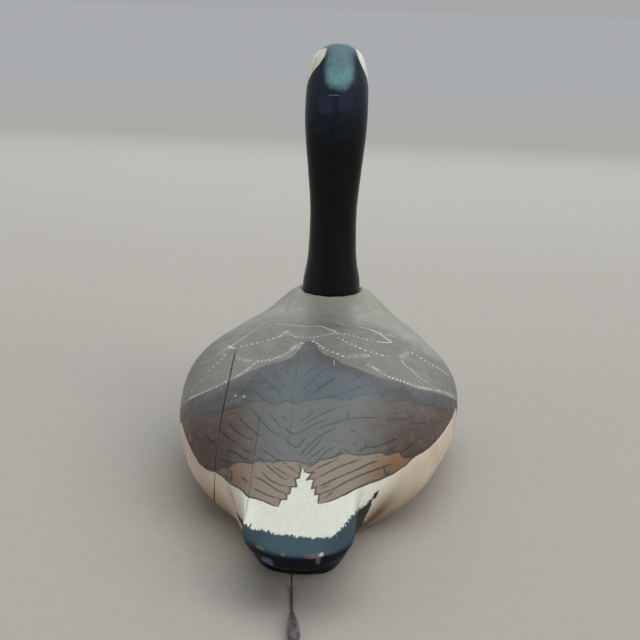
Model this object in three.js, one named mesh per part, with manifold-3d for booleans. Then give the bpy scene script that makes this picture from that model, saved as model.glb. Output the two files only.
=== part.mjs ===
import * as THREE from "three";
import { mergeVertices } from "three/addons/utils/BufferGeometryUtils.js";
import Module from "manifold-3d";

// A carved and painted goose decoy: a solid body with a paddle tail, a separate upright head and neck,
// glass eyes, and an anchor weight on a short line under the tail.
// Millimetres. +Y is forwards, towards the bill, +Z is up, and the flat underside stands on Z = 0.

// Body, stations along its length. Each row holds the distance from the tail tip, the half width,
// the top, the underside, the level of the greatest width, the roundness above and below it, and how
// far the middle lies to the right, because the tail is carved a little askew.
const bodyLength = 560;
const bodyStations = [
  [0, 37.5, 54, 41, 49, 4.0, 4.0, 5.8],
  [28, 40.5, 57, 39, 53, 3.6, 2.2, 4.9],
  [57, 41.5, 64, 27, 57, 3.0, 2.4, 3.9],
  [90, 46, 78, -11, 59, 2.6, 2.2, 0.9],
  [133, 64.5, 93, -10, 61, 2.3, 1.9, -3.0],
  [180, 100.5, 104, -10, 61, 2.2, 2.2, -0.9],
  [238, 118, 114, -10, 59, 2.1, 2.3, 0],
  [295, 128, 122, -10, 58, 2.1, 2.4, 0],
  [352, 130, 129, -10, 61, 2.1, 2.4, 0],
  [408, 116, 129, -10, 63, 2.0, 2.3, 0],
  [461, 103, 123, -6, 65, 1.95, 2.3, 0],
  [510, 98, 114, 0, 68, 1.95, 2.2, 0],
  [560, 95, 104, 6, 69, 2.1, 2.2, 0],
];
const tailRounding = 38;
const tailRim = 5;
const breastRounding = 120;
const breastRim = 80;
const bodyRings = 52;
const bodySides = 44;

// The raised seat that the neck stands on, which runs out into the back in a smooth slope.
const seat = {
  fromTail: 466,
  height: 134,
  halfWidth: 30,
  halfLength: 37,
  slope: 54,
  sharpness: 2.1,
  risesFrom: 55,
  risesOver: 37,
};

// Head and neck, sections from the foot of the neck to the tip of the bill. Each row holds a point on
// the back and crown (forwards of the neck's axis, above the seat), the point opposite on the throat
// and the underside of the bill, and the half width.
const headSections = [
  [-34, 0, 34, 0, 30],
  [-32, 12, 31, 12, 29],
  [-28, 40, 25, 36, 25],
  [-25, 85, 21, 80, 24],
  [-25, 125, 20, 118, 27],
  [-27, 160, 20, 144, 30],
  [-30, 190, 23, 159, 31.5],
  [-28, 218, 28, 171, 31.5],
  [-17, 238, 33, 179, 31],
  [0, 250, 38, 184, 29.5],
  [18, 250, 43, 187, 27.5],
  [33, 242, 48, 189, 24],
  [45, 230, 54, 190, 19.5],
  [59, 219, 63, 191, 16],
  [74, 211, 74, 192, 14.5],
  [87, 204, 86, 193, 12.5],
  [94, 199, 93.5, 195, 6],
];
const headSectionRoundness = 2.2;
const headRingsPerSection = 3;
const headSides = 28;
const seatGap = 0.3;

// Glass eyes, set in sockets on the sides of the head.
const eyeRadius = 5.5;
const eyeDepth = 3.6;
const eyeForward = 31;
const eyeHeight = 223;
const eyeSides = 16;
const eyeRings = 10;
const socketGap = 0.3;

// The stretch of head sections, by their order in the table above, in which the eyes sit.
const cheekFrom = 7;
const cheekTo = 13;
const cheekStep = 0.02;

// The wire staple under the rump that holds the anchor line.
const tie = { x: -1.8, y: -212, halfSpan: 3.4, lowest: 4.6, wireRadius: 0.8 };
const tieBendSteps = 12;
const tieSides = 8;
const tieSteps = 18;

// The anchor line lies from the staple to the weight.
const lineDiameter = 1.4;
const lineSides = 8;
const lineSteps = 26;
const lineRoute = [
  [-1.8, -213.2, 7.2],
  [-1.7, -215.6, 6.6],
  [-1.5, -218.0, 5.3],
  [-1.3, -220.4, 3.7],
  [-1.0, -223.0, 2.2],
  [-0.7, -226.0, 1.2],
  [-0.3, -229.5, 0.9],
  [0.0, -233.5, 0.8],
  [0.4, -237.5, 0.8],
  [0.8, -241.5, 0.8],
  [1.2, -245.5, 0.8],
  [1.6, -249.5, 0.8],
  [2.0, -254.0, 0.8],
  [2.4, -257.5, 0.9],
  [2.8, -260.8, 1.1],
  [3.2, -264.0, 1.4],
];

// The anchor weight, a lead teardrop lying on its side, drawn from its tip to its round end.
const weightProfile = [
  [0, 0],
  [1.3, 0],
  [1.6, 3],
  [2.4, 9],
  [3.4, 17],
  [4.2, 25],
  [4.6, 32],
  [4.6, 37],
  [4.1, 41],
  [3.0, 44],
  [1.7, 45.6],
  [0, 46],
];
const weightSides = 20;
const weightGap = 0.3;

// The weight points the way of the line's last few points.
const headingPoints = 3;

const wasm = await Module();
wasm.setup();

function material(color, roughness, metalness = 0) {
  return new THREE.MeshStandardMaterial({ color, roughness, metalness });
}

function signedPower(value, power) {
  return Math.sign(value) * Math.abs(value) ** power;
}

function smoothStep(value) {
  const t = THREE.MathUtils.clamp(value, 0, 1);
  return t * t * (3 - 2 * t);
}

// 0 at an end, rising as a quarter of an ellipse to 1 at the given reach from it.
function roundedEnd(distance, reach) {
  const missing = 1 - Math.min(distance / reach, 1);
  return Math.sqrt(1 - missing * missing);
}

// The smooth curve through the rows of a table whose first column rises.
function rowAt(rows, place) {
  const last = rows.length - 2;
  let i = 0;
  while (i < last && rows[i + 1][0] < place) i += 1;
  const slope = (k, column) => {
    const before = rows[Math.max(k - 1, 0)];
    const after = rows[Math.min(k + 1, rows.length - 1)];
    return (after[column] - before[column]) / (after[0] - before[0]);
  };
  const span = rows[i + 1][0] - rows[i][0];
  const t = (place - rows[i][0]) / span;
  return rows[i].map((value, column) => {
    const start = 2 * t ** 3 - 3 * t ** 2 + 1;
    const startSlope = (t ** 3 - 2 * t ** 2 + t) * span;
    const endSlope = (t ** 3 - t ** 2) * span;
    return (
      start * value +
      (1 - start) * rows[i + 1][column] +
      startSlope * slope(i, column) +
      endSlope * slope(i + 1, column)
    );
  });
}

// Joins rings of equal length into one closed surface, with a point in the middle of each end.
function closedLoft(rings, firstPole, lastPole) {
  const sides = rings[0].length;
  const positions = [...rings.flat(), firstPole, lastPole].flatMap((p) => p.toArray());
  const first = rings.length * sides;
  const last = first + 1;
  const index = [];
  for (let k = 0; k < rings.length; k += 1) {
    for (let j = 0; j < sides; j += 1) {
      const a = k * sides + j;
      const b = k * sides + ((j + 1) % sides);
      if (k === 0) index.push(first, a, b);
      if (k === rings.length - 1) index.push(last, b, a);
      else index.push(a, a + sides, b, b, a + sides, b + sides);
    }
  }
  const geometry = new THREE.BufferGeometry();
  geometry.setAttribute("position", new THREE.Float32BufferAttribute(positions, 3));
  geometry.setIndex(index);
  geometry.computeVertexNormals();
  return geometry;
}

function toSolid(geometry) {
  const bare = geometry.clone();
  bare.deleteAttribute("normal");
  bare.deleteAttribute("uv");
  const merged = mergeVertices(bare);
  return new wasm.Manifold(
    new wasm.Mesh({
      numProp: 3,
      vertProperties: merged.attributes.position.array,
      triVerts: new Uint32Array(merged.index.array),
    }),
  );
}

function toGeometry(solid) {
  const { vertProperties, triVerts } = solid.getMesh();
  const geometry = new THREE.BufferGeometry();
  geometry.setAttribute("position", new THREE.BufferAttribute(vertProperties, 3));
  geometry.setIndex(new THREE.BufferAttribute(triVerts, 1));
  geometry.computeVertexNormals();
  return geometry;
}

// How far the neck seat lifts a point of the back.
function seatLift(x, y, z) {
  const alongY = y - (seat.fromTail - bodyLength / 2);
  const reach = Math.hypot(x / seat.halfWidth, alongY / seat.halfLength);
  const beyond = reach > 1 ? Math.hypot(x, alongY) * (1 - 1 / reach) : 0;
  const share = smoothStep(1 - beyond / seat.slope) ** seat.sharpness;
  const upper = THREE.MathUtils.clamp((z - seat.risesFrom) / seat.risesOver, 0, 1);
  return Math.max((seat.height - z) * share * upper, 0);
}

function bodyPoint(fromTail, angle) {
  const toBreast = bodyLength - fromTail;
  const [, halfWidth, top, underside, level, upper, lower, toRight] = rowAt(bodyStations, fromTail);
  const width = halfWidth * roundedEnd(fromTail, tailRounding) * roundedEnd(toBreast, breastRounding);
  const rim = roundedEnd(fromTail, tailRim) * roundedEnd(toBreast, breastRim);
  const above = Math.sin(angle) >= 0;
  const power = 2 / (above ? upper : lower);
  const depth = (above ? top - level : level - underside) * rim;
  const x = toRight + width * signedPower(Math.cos(angle), power);
  const y = fromTail - bodyLength / 2;
  const z = Math.max(level + depth * signedPower(Math.sin(angle), power), 0);
  return new THREE.Vector3(x, y, z + seatLift(x, y, z));
}

function makeBody() {
  const rings = [];
  for (let k = 1; k < bodyRings; k += 1) {
    const fromTail = (bodyLength * (1 - Math.cos((Math.PI * k) / bodyRings))) / 2;
    const ring = [];
    for (let j = 0; j < bodySides; j += 1) ring.push(bodyPoint(fromTail, (2 * Math.PI * j) / bodySides));
    rings.push(ring);
  }
  const tailTip = new THREE.Vector3(bodyStations[0][7], -bodyLength / 2, bodyStations[0][4]);
  const breastTip = new THREE.Vector3(0, bodyLength / 2, bodyStations.at(-1)[4]);
  return new THREE.Mesh(closedLoft(rings, tailTip, breastTip), material(0x7d7364, 0.6));
}

// A section of the head and neck, in the plane through its back and throat points.
function headRing([backY, backZ, throatY, throatZ, halfWidth]) {
  const ring = [];
  const middle = new THREE.Vector3(0, (backY + throatY) / 2, (backZ + throatZ) / 2);
  const toBack = new THREE.Vector3(0, (backY - throatY) / 2, (backZ - throatZ) / 2);
  for (let j = 0; j < headSides; j += 1) {
    const angle = (2 * Math.PI * j) / headSides;
    const across = halfWidth * signedPower(Math.cos(angle), 2 / headSectionRoundness);
    const along = signedPower(Math.sin(angle), 2 / headSectionRoundness);
    ring.push(new THREE.Vector3(across, 0, 0).add(middle).addScaledVector(toBack, along));
  }
  return ring;
}

function headRow(place) {
  const rows = headSections.map((row, i) => [i, ...row]);
  return rowAt(rows, place).slice(1);
}

function headSolid() {
  const rings = [];
  const count = (headSections.length - 1) * headRingsPerSection;
  for (let k = 0; k <= count; k += 1) rings.push(headRing(headRow(k / headRingsPerSection)));
  const middleOf = (ring) => ring.reduce((sum, p) => sum.add(p), new THREE.Vector3()).divideScalar(ring.length);
  return toSolid(closedLoft(rings, middleOf(rings[0]), middleOf(rings.at(-1))));
}

// Half the head's width where the eyes sit, from the section that passes through them.
function cheekHalfWidth() {
  let best = { miss: Infinity };
  for (let place = cheekFrom; place < cheekTo; place += cheekStep) {
    const [backY, backZ, throatY, throatZ, halfWidth] = headRow(place);
    const span = Math.hypot(backY - throatY, backZ - throatZ);
    const alongY = (backY - throatY) / span;
    const alongZ = (backZ - throatZ) / span;
    const fromMiddleY = eyeForward - (backY + throatY) / 2;
    const fromMiddleZ = eyeHeight - (backZ + throatZ) / 2;
    const miss = Math.abs(fromMiddleY * alongZ - fromMiddleZ * alongY);
    const share = Math.abs(fromMiddleY * alongY + fromMiddleZ * alongZ) / (span / 2);
    if (miss < best.miss) best = { miss, share, halfWidth };
  }
  const round = headSectionRoundness;
  return best.halfWidth * (1 - best.share ** round) ** (1 / round);
}

function eyeSolid(side, radius) {
  const ball = new THREE.SphereGeometry(radius, eyeSides, eyeRings);
  ball.translate(side * (cheekHalfWidth() - eyeDepth), eyeForward, eyeHeight);
  return toSolid(ball);
}

function makeHeadAndNeck() {
  let solid = headSolid();
  for (const side of [-1, 1]) solid = solid.subtract(eyeSolid(side, eyeRadius + socketGap));
  return new THREE.Mesh(toGeometry(solid), material(0x15161c, 0.35));
}

function makeEye(side) {
  return new THREE.Mesh(toGeometry(eyeSolid(side, eyeRadius)), material(0x120a06, 0.08));
}

// A staple, whose two legs reach up to just under the wood.
function makeLineTie() {
  const fromTail = tie.y + tie.wireRadius + bodyLength / 2;
  const woodLevel = rowAt(bodyStations, fromTail)[3];
  const legTop = woodLevel - socketGap;
  const path = new THREE.CurvePath();
  const bend = tie.halfSpan;
  const bendTop = tie.lowest + tie.wireRadius + bend;
  const at = (x, z) => new THREE.Vector3(tie.x + x, tie.y, z);
  path.add(new THREE.LineCurve3(at(-bend, legTop), at(-bend, bendTop)));
  const arc = [];
  for (let k = 0; k <= tieBendSteps; k += 1) {
    const angle = Math.PI + (Math.PI * k) / tieBendSteps;
    arc.push(at(bend * Math.cos(angle), bendTop + bend * Math.sin(angle)));
  }
  path.add(new THREE.CatmullRomCurve3(arc));
  path.add(new THREE.LineCurve3(at(bend, bendTop), at(bend, legTop)));
  return new THREE.Mesh(tube(path, tie.wireRadius, tieSides, tieSteps), material(0x6b6257, 0.45, 0.8));
}

function tube(path, radius, sides, steps) {
  const section = new THREE.Shape();
  for (let j = 0; j < sides; j += 1) {
    const angle = (2 * Math.PI * j) / sides;
    section[j ? "lineTo" : "moveTo"](radius * Math.cos(angle), radius * Math.sin(angle));
  }
  section.closePath();
  return new THREE.ExtrudeGeometry(section, { steps, extrudePath: path, curveSegments: 1 });
}

function makeCord() {
  const path = new THREE.CatmullRomCurve3(lineRoute.map((p) => new THREE.Vector3(...p)));
  return new THREE.Mesh(tube(path, lineDiameter / 2, lineSides, lineSteps), material(0x3a2a1c, 0.8));
}

// The weight lies on its side, its tip at the line's end and its underside on the ground.
function makeAnchorWeight() {
  const profile = weightProfile.map(([radius, fromTip]) => new THREE.Vector2(radius, fromTip));
  const geometry = new THREE.LatheGeometry(profile, weightSides);
  const [beforeX, beforeY] = lineRoute.at(-1 - headingPoints);
  const [endX, endY, endZ] = lineRoute.at(-1);
  const heading = Math.atan2(endX - beforeX, beforeY - endY);
  const [fattest, fattestAt] = weightProfile.reduce((widest, row) => (row[0] > widest[0] ? row : widest));
  const tilt = Math.asin((fattest - endZ) / fattestAt);
  geometry.rotateX(Math.PI - tilt);
  geometry.rotateZ(heading);
  geometry.translate(endX + weightGap * Math.sin(heading), endY - weightGap * Math.cos(heading), endZ);
  geometry.computeBoundingBox();
  geometry.translate(0, 0, -geometry.boundingBox.min.z);
  return new THREE.Mesh(geometry, material(0x77707a, 0.45, 0.6));
}

function named(mesh, name) {
  mesh.name = name;
  return mesh;
}

const group = new THREE.Group();
group.add(named(makeBody(), "body"));

const headGroup = new THREE.Group();
headGroup.position.set(0, seat.fromTail - bodyLength / 2, seat.height + seatGap);
headGroup.add(named(makeHeadAndNeck(), "head_and_neck"));
headGroup.add(named(makeEye(-1), "left_eye"));
headGroup.add(named(makeEye(1), "right_eye"));
group.add(headGroup);

group.add(named(makeLineTie(), "line_tie"));
group.add(named(makeCord(), "cord"));
group.add(named(makeAnchorWeight(), "anchor_weight"));

export default group;
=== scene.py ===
import math

import bmesh
import bpy
import numpy as np
from mathutils import Matrix, Vector
from mathutils.bvhtree import BVHTree


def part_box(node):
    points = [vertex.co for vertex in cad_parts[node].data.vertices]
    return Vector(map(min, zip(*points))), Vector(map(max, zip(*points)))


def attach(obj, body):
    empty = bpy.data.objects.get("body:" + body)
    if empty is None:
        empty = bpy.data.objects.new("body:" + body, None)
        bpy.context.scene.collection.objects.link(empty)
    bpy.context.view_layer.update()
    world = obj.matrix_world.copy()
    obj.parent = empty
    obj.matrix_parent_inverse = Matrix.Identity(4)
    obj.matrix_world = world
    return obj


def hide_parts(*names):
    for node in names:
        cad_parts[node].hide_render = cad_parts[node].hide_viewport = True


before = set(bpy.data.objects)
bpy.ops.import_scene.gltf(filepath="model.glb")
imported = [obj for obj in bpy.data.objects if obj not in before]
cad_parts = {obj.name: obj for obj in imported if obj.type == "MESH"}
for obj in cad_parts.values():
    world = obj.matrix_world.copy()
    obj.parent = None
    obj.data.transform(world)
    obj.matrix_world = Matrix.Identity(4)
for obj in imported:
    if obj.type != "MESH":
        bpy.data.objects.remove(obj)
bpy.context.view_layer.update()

# Sizes are in millimetres and are turned into metres where a mesh is made.
MM = 0.001
ROOT = "root"

# The photograph's frame and its camera. Points taken from the photograph are in its pixels.
PHOTO_SIZE = 640
PHOTO_FOCAL = 1200
PIXEL_STEP = 0.5
CAMERA_AT = (65.4, -1038.7, 425.7)
CAMERA_YAW = -3.56
CAMERA_PITCH = 14.9
CAMERA_ROLL = 1.65
SENSOR_MM = 36

# Body: distance from the tail tip, half width, top, underside, level of the greatest width, the
# roundness above and below that level, and how far the middle lies to the right.
BODY_LENGTH = 560
BODY_STATIONS = np.array([
    [0, 37.5, 54, 41, 49, 4.0, 4.0, 5.8],
    [28, 40.5, 57, 39, 53, 3.6, 2.2, 4.9],
    [57, 41.5, 64, 27, 57, 3.0, 2.4, 3.9],
    [90, 46, 78, -11, 59, 2.6, 2.2, 0.9],
    [133, 64.5, 93, -10, 61, 2.3, 1.9, -3.0],
    [180, 100.5, 104, -10, 61, 2.2, 2.2, -0.9],
    [238, 118, 114, -10, 59, 2.1, 2.3, 0],
    [295, 128, 122, -10, 58, 2.1, 2.4, 0],
    [352, 130, 129, -10, 61, 2.1, 2.4, 0],
    [408, 116, 129, -10, 63, 2.0, 2.3, 0],
    [461, 103, 123, -6, 65, 1.95, 2.3, 0],
    [510, 98, 114, 0, 68, 1.95, 2.2, 0],
    [560, 95, 104, 6, 69, 2.1, 2.2, 0],
])
TAIL_ROUNDING = 38
TAIL_RIM = 5
BREAST_ROUNDING = 120
BREAST_RIM = 80

# The raised seat that the neck stands on.
SEAT_Y = 186
SEAT_HEIGHT = 134
SEAT_HALF_WIDTH = 30
SEAT_HALF_LENGTH = 37
SEAT_SLOPE = 54
SEAT_SHARPNESS = 2.1
SEAT_RISES_FROM = 55
SEAT_RISES_OVER = 37

# Anchor line and weight.
LINE_DIAMETER = 1.4
LINE_ROUTE = [
    (-1.8, -213.2, 7.2),
    (-1.7, -215.6, 6.6),
    (-1.5, -218.0, 5.3),
    (-1.3, -220.4, 3.7),
    (-1.0, -223.0, 2.2),
    (-0.7, -226.0, 1.2),
    (-0.3, -229.5, 0.9),
    (0.0, -233.5, 0.8),
    (0.4, -237.5, 0.8),
    (0.8, -241.5, 0.8),
    (1.2, -245.5, 0.8),
    (1.6, -249.5, 0.8),
    (2.0, -254.0, 0.8),
    (2.4, -257.5, 0.9),
    (2.8, -260.8, 1.1),
    (3.2, -264.0, 1.4),
]


# Camera

def camera_axes():
    yaw, pitch, roll = (math.radians(a) for a in (CAMERA_YAW, CAMERA_PITCH, CAMERA_ROLL))
    ahead = Vector((math.sin(yaw) * math.cos(pitch), math.cos(yaw) * math.cos(pitch), -math.sin(pitch)))
    level = Vector((math.cos(yaw), -math.sin(yaw), 0))
    above = level.cross(ahead)
    right = level * math.cos(roll) + above * math.sin(roll)
    up = above * math.cos(roll) - level * math.sin(roll)
    return right, up, ahead


def add_camera():
    right, up, ahead = camera_axes()
    data = bpy.data.cameras.new("camera")
    data.sensor_width = SENSOR_MM
    data.lens = PHOTO_FOCAL / PHOTO_SIZE * SENSOR_MM
    camera = bpy.data.objects.new("camera", data)
    turn = Matrix((right, up, -ahead)).transposed().to_4x4()
    camera.matrix_world = Matrix.Translation(Vector(CAMERA_AT) * MM) @ turn
    bpy.context.scene.collection.objects.link(camera)
    bpy.context.scene.camera = camera


# Meshes

def add_mesh(name, points, faces, smooth=True):
    mesh = bpy.data.meshes.new(name)
    mesh.from_pydata((np.asarray(points) * MM).tolist(), [], faces)
    mesh.polygons.foreach_set("use_smooth", [smooth] * len(mesh.polygons))
    piece = bpy.data.objects.new(name, mesh)
    bpy.context.scene.collection.objects.link(piece)
    return piece


def loft_faces(rings, sides):
    """Faces that join rings of equal length, whose last two points are the middles of its ends."""
    faces = []
    first, last = rings * sides, rings * sides + 1
    for j in range(sides):
        k = (j + 1) % sides
        faces.append((first, k, j))
        faces.extend((i * sides + j, i * sides + k, (i + 1) * sides + k, (i + 1) * sides + j)
                     for i in range(rings - 1))
        faces.append((last, (rings - 1) * sides + j, (rings - 1) * sides + k))
    return faces


def finish_piece(piece, nodes, material):
    piece.data.materials.append(material)
    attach(piece, ROOT)
    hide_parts(*nodes)


def attribute(piece, name, values):
    values = np.asarray(values, np.float32)
    kind = "FLOAT_VECTOR" if values.ndim == 2 else "FLOAT"
    layer = piece.data.attributes.new(name, kind, "POINT")
    layer.data.foreach_set("vector" if values.ndim == 2 else "value", values.ravel())


def smooth_step(value):
    t = np.clip(value, 0, 1)
    return t * t * (3 - 2 * t)


def rows_at(rows, place):
    """The smooth curve through the rows of a table whose first column rises."""
    x = rows[:, 0]
    slope = np.empty_like(rows)
    slope[1:-1] = (rows[2:] - rows[:-2]) / (x[2:] - x[:-2])[:, None]
    slope[0] = (rows[1] - rows[0]) / (x[1] - x[0])
    slope[-1] = (rows[-1] - rows[-2]) / (x[-1] - x[-2])
    i = np.clip(np.searchsorted(x, place) - 1, 0, len(x) - 2)
    span = (x[i + 1] - x[i])[:, None]
    t = (np.asarray(place)[:, None] - x[i][:, None]) / span
    start = 2 * t**3 - 3 * t**2 + 1
    bend = slope[i] * (t**3 - 2 * t**2 + t) + slope[i + 1] * (t**3 - t**2)
    return start * rows[i] + (1 - start) * rows[i + 1] + bend * span


def through(points, step=1.0):
    """A smooth curve through points, as points about a step apart."""
    points = np.array(points, float)
    padded = np.vstack([2 * points[0] - points[1], points, 2 * points[-1] - points[-2]])
    curve = []
    for p0, p1, p2, p3 in zip(padded, padded[1:], padded[2:], padded[3:]):
        count = max(int(np.linalg.norm(p2 - p1) / step), 1)
        t = (np.arange(count) / count)[:, None]
        curve.append(0.5 * (2 * p1 + (p2 - p0) * t + (2 * p0 - 5 * p1 + 4 * p2 - p3) * t**2
                            + (3 * p1 - p0 - 3 * p2 + p3) * t**3))
    return np.vstack([*curve, points[-1:]])


# The body's surface. Its rings stand close together round both ends and along the painted back, and
# the columns of each half section close together above.
SECTION_STEPS = 720
RIM_REACH = 7
RIM_RINGS = 16
BACK_START = 1.5
BACK_STEP = 1.6
BACK_END = 330
FRONT_START = 2.2
FRONT_STEP = 2.3
UPPER_SHARE = 0.62
UPPER_COLUMNS = 100
LOWER_COLUMNS = 30


def rounded_end(distance, reach):
    missing = 1 - np.minimum(distance / reach, 1)
    return np.sqrt(1 - missing**2)


def seat_lift(x, y, z):
    """How far the neck seat lifts points of the back."""
    along = y - SEAT_Y
    reach = np.hypot(x / SEAT_HALF_WIDTH, along / SEAT_HALF_LENGTH)
    beyond = np.where(reach > 1, np.hypot(x, along) * (1 - 1 / np.maximum(reach, 1)), 0)
    share = smooth_step(1 - beyond / SEAT_SLOPE) ** SEAT_SHARPNESS
    upper = np.clip((z - SEAT_RISES_FROM) / SEAT_RISES_OVER, 0, 1)
    return np.maximum((SEAT_HEIGHT - z) * share * upper, 0)


def middle_x(y):
    """How far the body's middle line lies to the right at a place along it."""
    return rows_at(BODY_STATIONS, np.atleast_1d(y) + BODY_LENGTH / 2)[:, 7]


def half_sections(from_tail):
    """The right half of each section, from the middle of the back down to the middle of the
    underside: the distances of its points from the middle line, their z and their lengths along it."""
    rows = rows_at(BODY_STATIONS, from_tail)
    half_width, top, underside, level, upper, lower = (rows[:, [c]] for c in range(1, 7))
    to_breast = BODY_LENGTH - from_tail
    width = half_width[:, 0] * rounded_end(from_tail, TAIL_ROUNDING) * rounded_end(to_breast, BREAST_ROUNDING)
    rim = rounded_end(from_tail, TAIL_RIM) * rounded_end(to_breast, BREAST_RIM)
    angle = np.linspace(math.pi / 2, -math.pi / 2, SECTION_STEPS + 1)[None, :]
    rise = np.sin(angle)
    above = rise >= 0
    power = 2 / np.where(above, upper, lower)
    depth = np.where(above, top - level, level - underside) * rim[:, None]
    x = width[:, None] * np.abs(np.cos(angle)) ** power
    x[:, [0, -1]] = 0
    z = np.maximum(level + depth * np.sign(rise) * np.abs(rise) ** power, 0)
    y = np.broadcast_to((from_tail - BODY_LENGTH / 2)[:, None], x.shape)
    z = z + seat_lift(x, y, z)
    step = np.hypot(np.diff(x, axis=1), np.diff(z, axis=1))
    along = np.concatenate([np.zeros((len(x), 1)), np.cumsum(step, axis=1)], axis=1)
    return x, z, along


def ring_places():
    """The rings' distances from the tail tip."""
    quarter = np.arange(1, RIM_RINGS + 1) / RIM_RINGS * math.pi / 2
    end = RIM_REACH * (1 - np.cos(quarter))
    back = np.arange(end[-1] + BACK_START, BACK_END, BACK_STEP)
    front = np.arange(back[-1] + FRONT_START, BODY_LENGTH - RIM_REACH, FRONT_STEP)
    return np.concatenate([end, back, front, BODY_LENGTH - end[::-1]])


def column_shares():
    """The columns' places round half a section, as shares of its length."""
    upper = np.linspace(0, UPPER_SHARE, UPPER_COLUMNS)
    lower = np.linspace(upper[-1], 1, LOWER_COLUMNS + 1)[1:]
    return np.concatenate([upper, lower])


def body_grid():
    """Points of the body, ring by ring, and for each its chart place: the length round the section
    from the middle of the back, which is negative on the left side, y, and 0."""
    places = ring_places()
    shares = column_shares()
    x, z, along = half_sections(places)
    points, chart = [], []
    for ring, place in enumerate(places):
        total = along[ring, -1]
        wanted = shares * total
        right_x = np.interp(wanted, along[ring], x[ring])
        right_z = np.interp(wanted, along[ring], z[ring])
        y = place - BODY_LENGTH / 2
        middle = middle_x(y)[0]
        sides = ((1, slice(None)), (-1, slice(-2, 0, -1)))
        for side, part in sides:
            count = len(shares[part])
            points.append(np.stack([middle + side * right_x[part], np.full(count, y), right_z[part]], 1))
            chart.append(np.stack([side * wanted[part], np.full(count, y), np.zeros(count)], 1))
    tail_tip = (BODY_STATIONS[0, 7], -BODY_LENGTH / 2, BODY_STATIONS[0, 4])
    breast_tip = (0, BODY_LENGTH / 2, BODY_STATIONS[-1, 4])
    end_chart = [(0, -BODY_LENGTH / 2, 0), (0, BODY_LENGTH / 2, 0)]
    return np.vstack([*points, tail_tip, breast_tip]), np.vstack([*chart, end_chart])


def round_body(y, share, side):
    """The chart place at a share of the way from the middle of the back to that of the underside."""
    _, _, along = half_sections(np.array([y + BODY_LENGTH / 2]))
    return side * share * along[0, -1], y


class PhotoRays:
    """Finds where a pixel of the photograph falls on the body."""

    def __init__(self, points, faces):
        self.tree = BVHTree.FromPolygons(points.tolist(), faces)
        self.right, self.up, self.ahead = camera_axes()
        self.middle = PHOTO_SIZE / 2

    def hit(self, px, py):
        dx = (px - self.middle) / PHOTO_FOCAL
        dy = (py - self.middle) / PHOTO_FOCAL
        return self.tree.ray_cast(Vector(CAMERA_AT), self.ahead + self.right * dx - self.up * dy)[0]

    def chart(self, pixel):
        """The chart place under a pixel, or under the nearest one inwards that falls on the body."""
        px, py = pixel
        place = self.hit(px, py)
        while place is None:
            px += math.copysign(PIXEL_STEP, self.middle - px)
            place = self.hit(px, py)
        x, z, along = half_sections(np.array([place.y + BODY_LENGTH / 2]))
        to_right = place.x - middle_x(place.y)[0]
        nearest = np.argmin((x[0] - abs(to_right)) ** 2 + (z[0] - place.z) ** 2)
        return math.copysign(along[0, nearest], to_right), place.y

    def line(self, pixels, smooth=True):
        places = [self.chart(pixel) for pixel in pixels]
        return through(places) if smooth else np.array(places)


# The painted zones, by the pixels of the photograph that their edges pass through

MANTLE_EDGE = [
    (185, 404), (190, 400), (198, 396), (209, 391), (219, 386), (229, 381), (241, 376), (251, 371),
    (260, 368), (269, 364), (282, 361), (292, 357), (300, 349), (304, 343), (310, 341), (316, 344),
    (319, 350), (326, 355), (334, 358), (344, 364), (353, 367), (363, 371), (371, 374), (382, 378),
    (392, 380), (402, 383), (412, 387), (422, 390), (433, 392), (443, 395), (451, 398), (456, 401),
]
SLATE_EDGE = [
    (183, 412), (192, 414.5), (204, 414.5), (216, 413), (228, 410), (237, 408), (249, 403.5),
    (257, 402), (267, 402), (274, 404.5), (281, 404), (285, 401), (292, 403), (298, 403.5),
    (305, 400.5), (315, 400), (325, 398), (335, 398.5), (341, 400), (348, 400), (357, 396.5),
    (365, 395), (380, 396), (385, 399.5), (392, 401.5), (410, 401.5), (417, 404.5), (427, 405.5),
    (433, 405), (437, 407), (441, 409.5), (447, 410), (453, 408.5),
]
COVERT_EDGE = [
    (199, 463), (210, 470.5), (221, 468), (229, 467), (233, 464), (241, 462), (251, 463.5),
    (256, 461.5), (264, 461), (272, 462), (282, 461), (292, 461), (300, 462), (306, 464), (311, 463),
    (316, 462), (320, 459.5), (327, 459), (335, 457), (343, 453.5), (349, 453.5), (355, 455),
    (363, 455), (376, 453), (381, 452.5), (385, 454.5), (389, 454.5), (399, 451.5), (401, 455),
    (404, 457), (408, 457.2), (412, 455.5), (418, 452.8), (427, 448.5),
]
WING_LEFT_EDGE = [
    (182, 420.5), (184, 430), (187, 438.5), (192, 450), (199, 462), (204, 466.5), (210, 469.5),
    (216, 472), (222, 476), (230, 483), (237, 487), (243, 491), (248, 496.5), (256, 498.5),
    (265, 501.5), (272, 505), (278.5, 507),
]
LEFT_TIPS = [
    (278.5, 507), (280.5, 499.5), (286.7, 499.5), (286.3, 494.5), (289.6, 494), (290.8, 486.6),
    (296.6, 487), (295, 478.5), (299.7, 478), (300.3, 473), (300.8, 470), (299.6, 465.5), (303, 468),
]
RIGHT_TIPS = [
    (303, 468), (304.8, 469.8), (304.2, 471.6), (308.5, 472.9), (313.3, 472.4), (310.2, 475.7), (307, 479.4),
    (314.4, 478.6), (313, 483), (312, 488), (315.8, 487.5), (315, 494.2), (319.3, 494), (318, 503.3),
    (321.2, 503.6),
]
WING_RIGHT_EDGE = [
    (321.2, 503.6), (330, 501), (338, 497.5), (347, 493.5), (357, 488), (368, 483.5), (378.5, 480),
    (386, 476.5), (394, 473), (401, 468), (407, 464), (413, 457.5), (428, 448), (441, 434), (451, 418.5),
    (455.5, 406.5),
]
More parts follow.
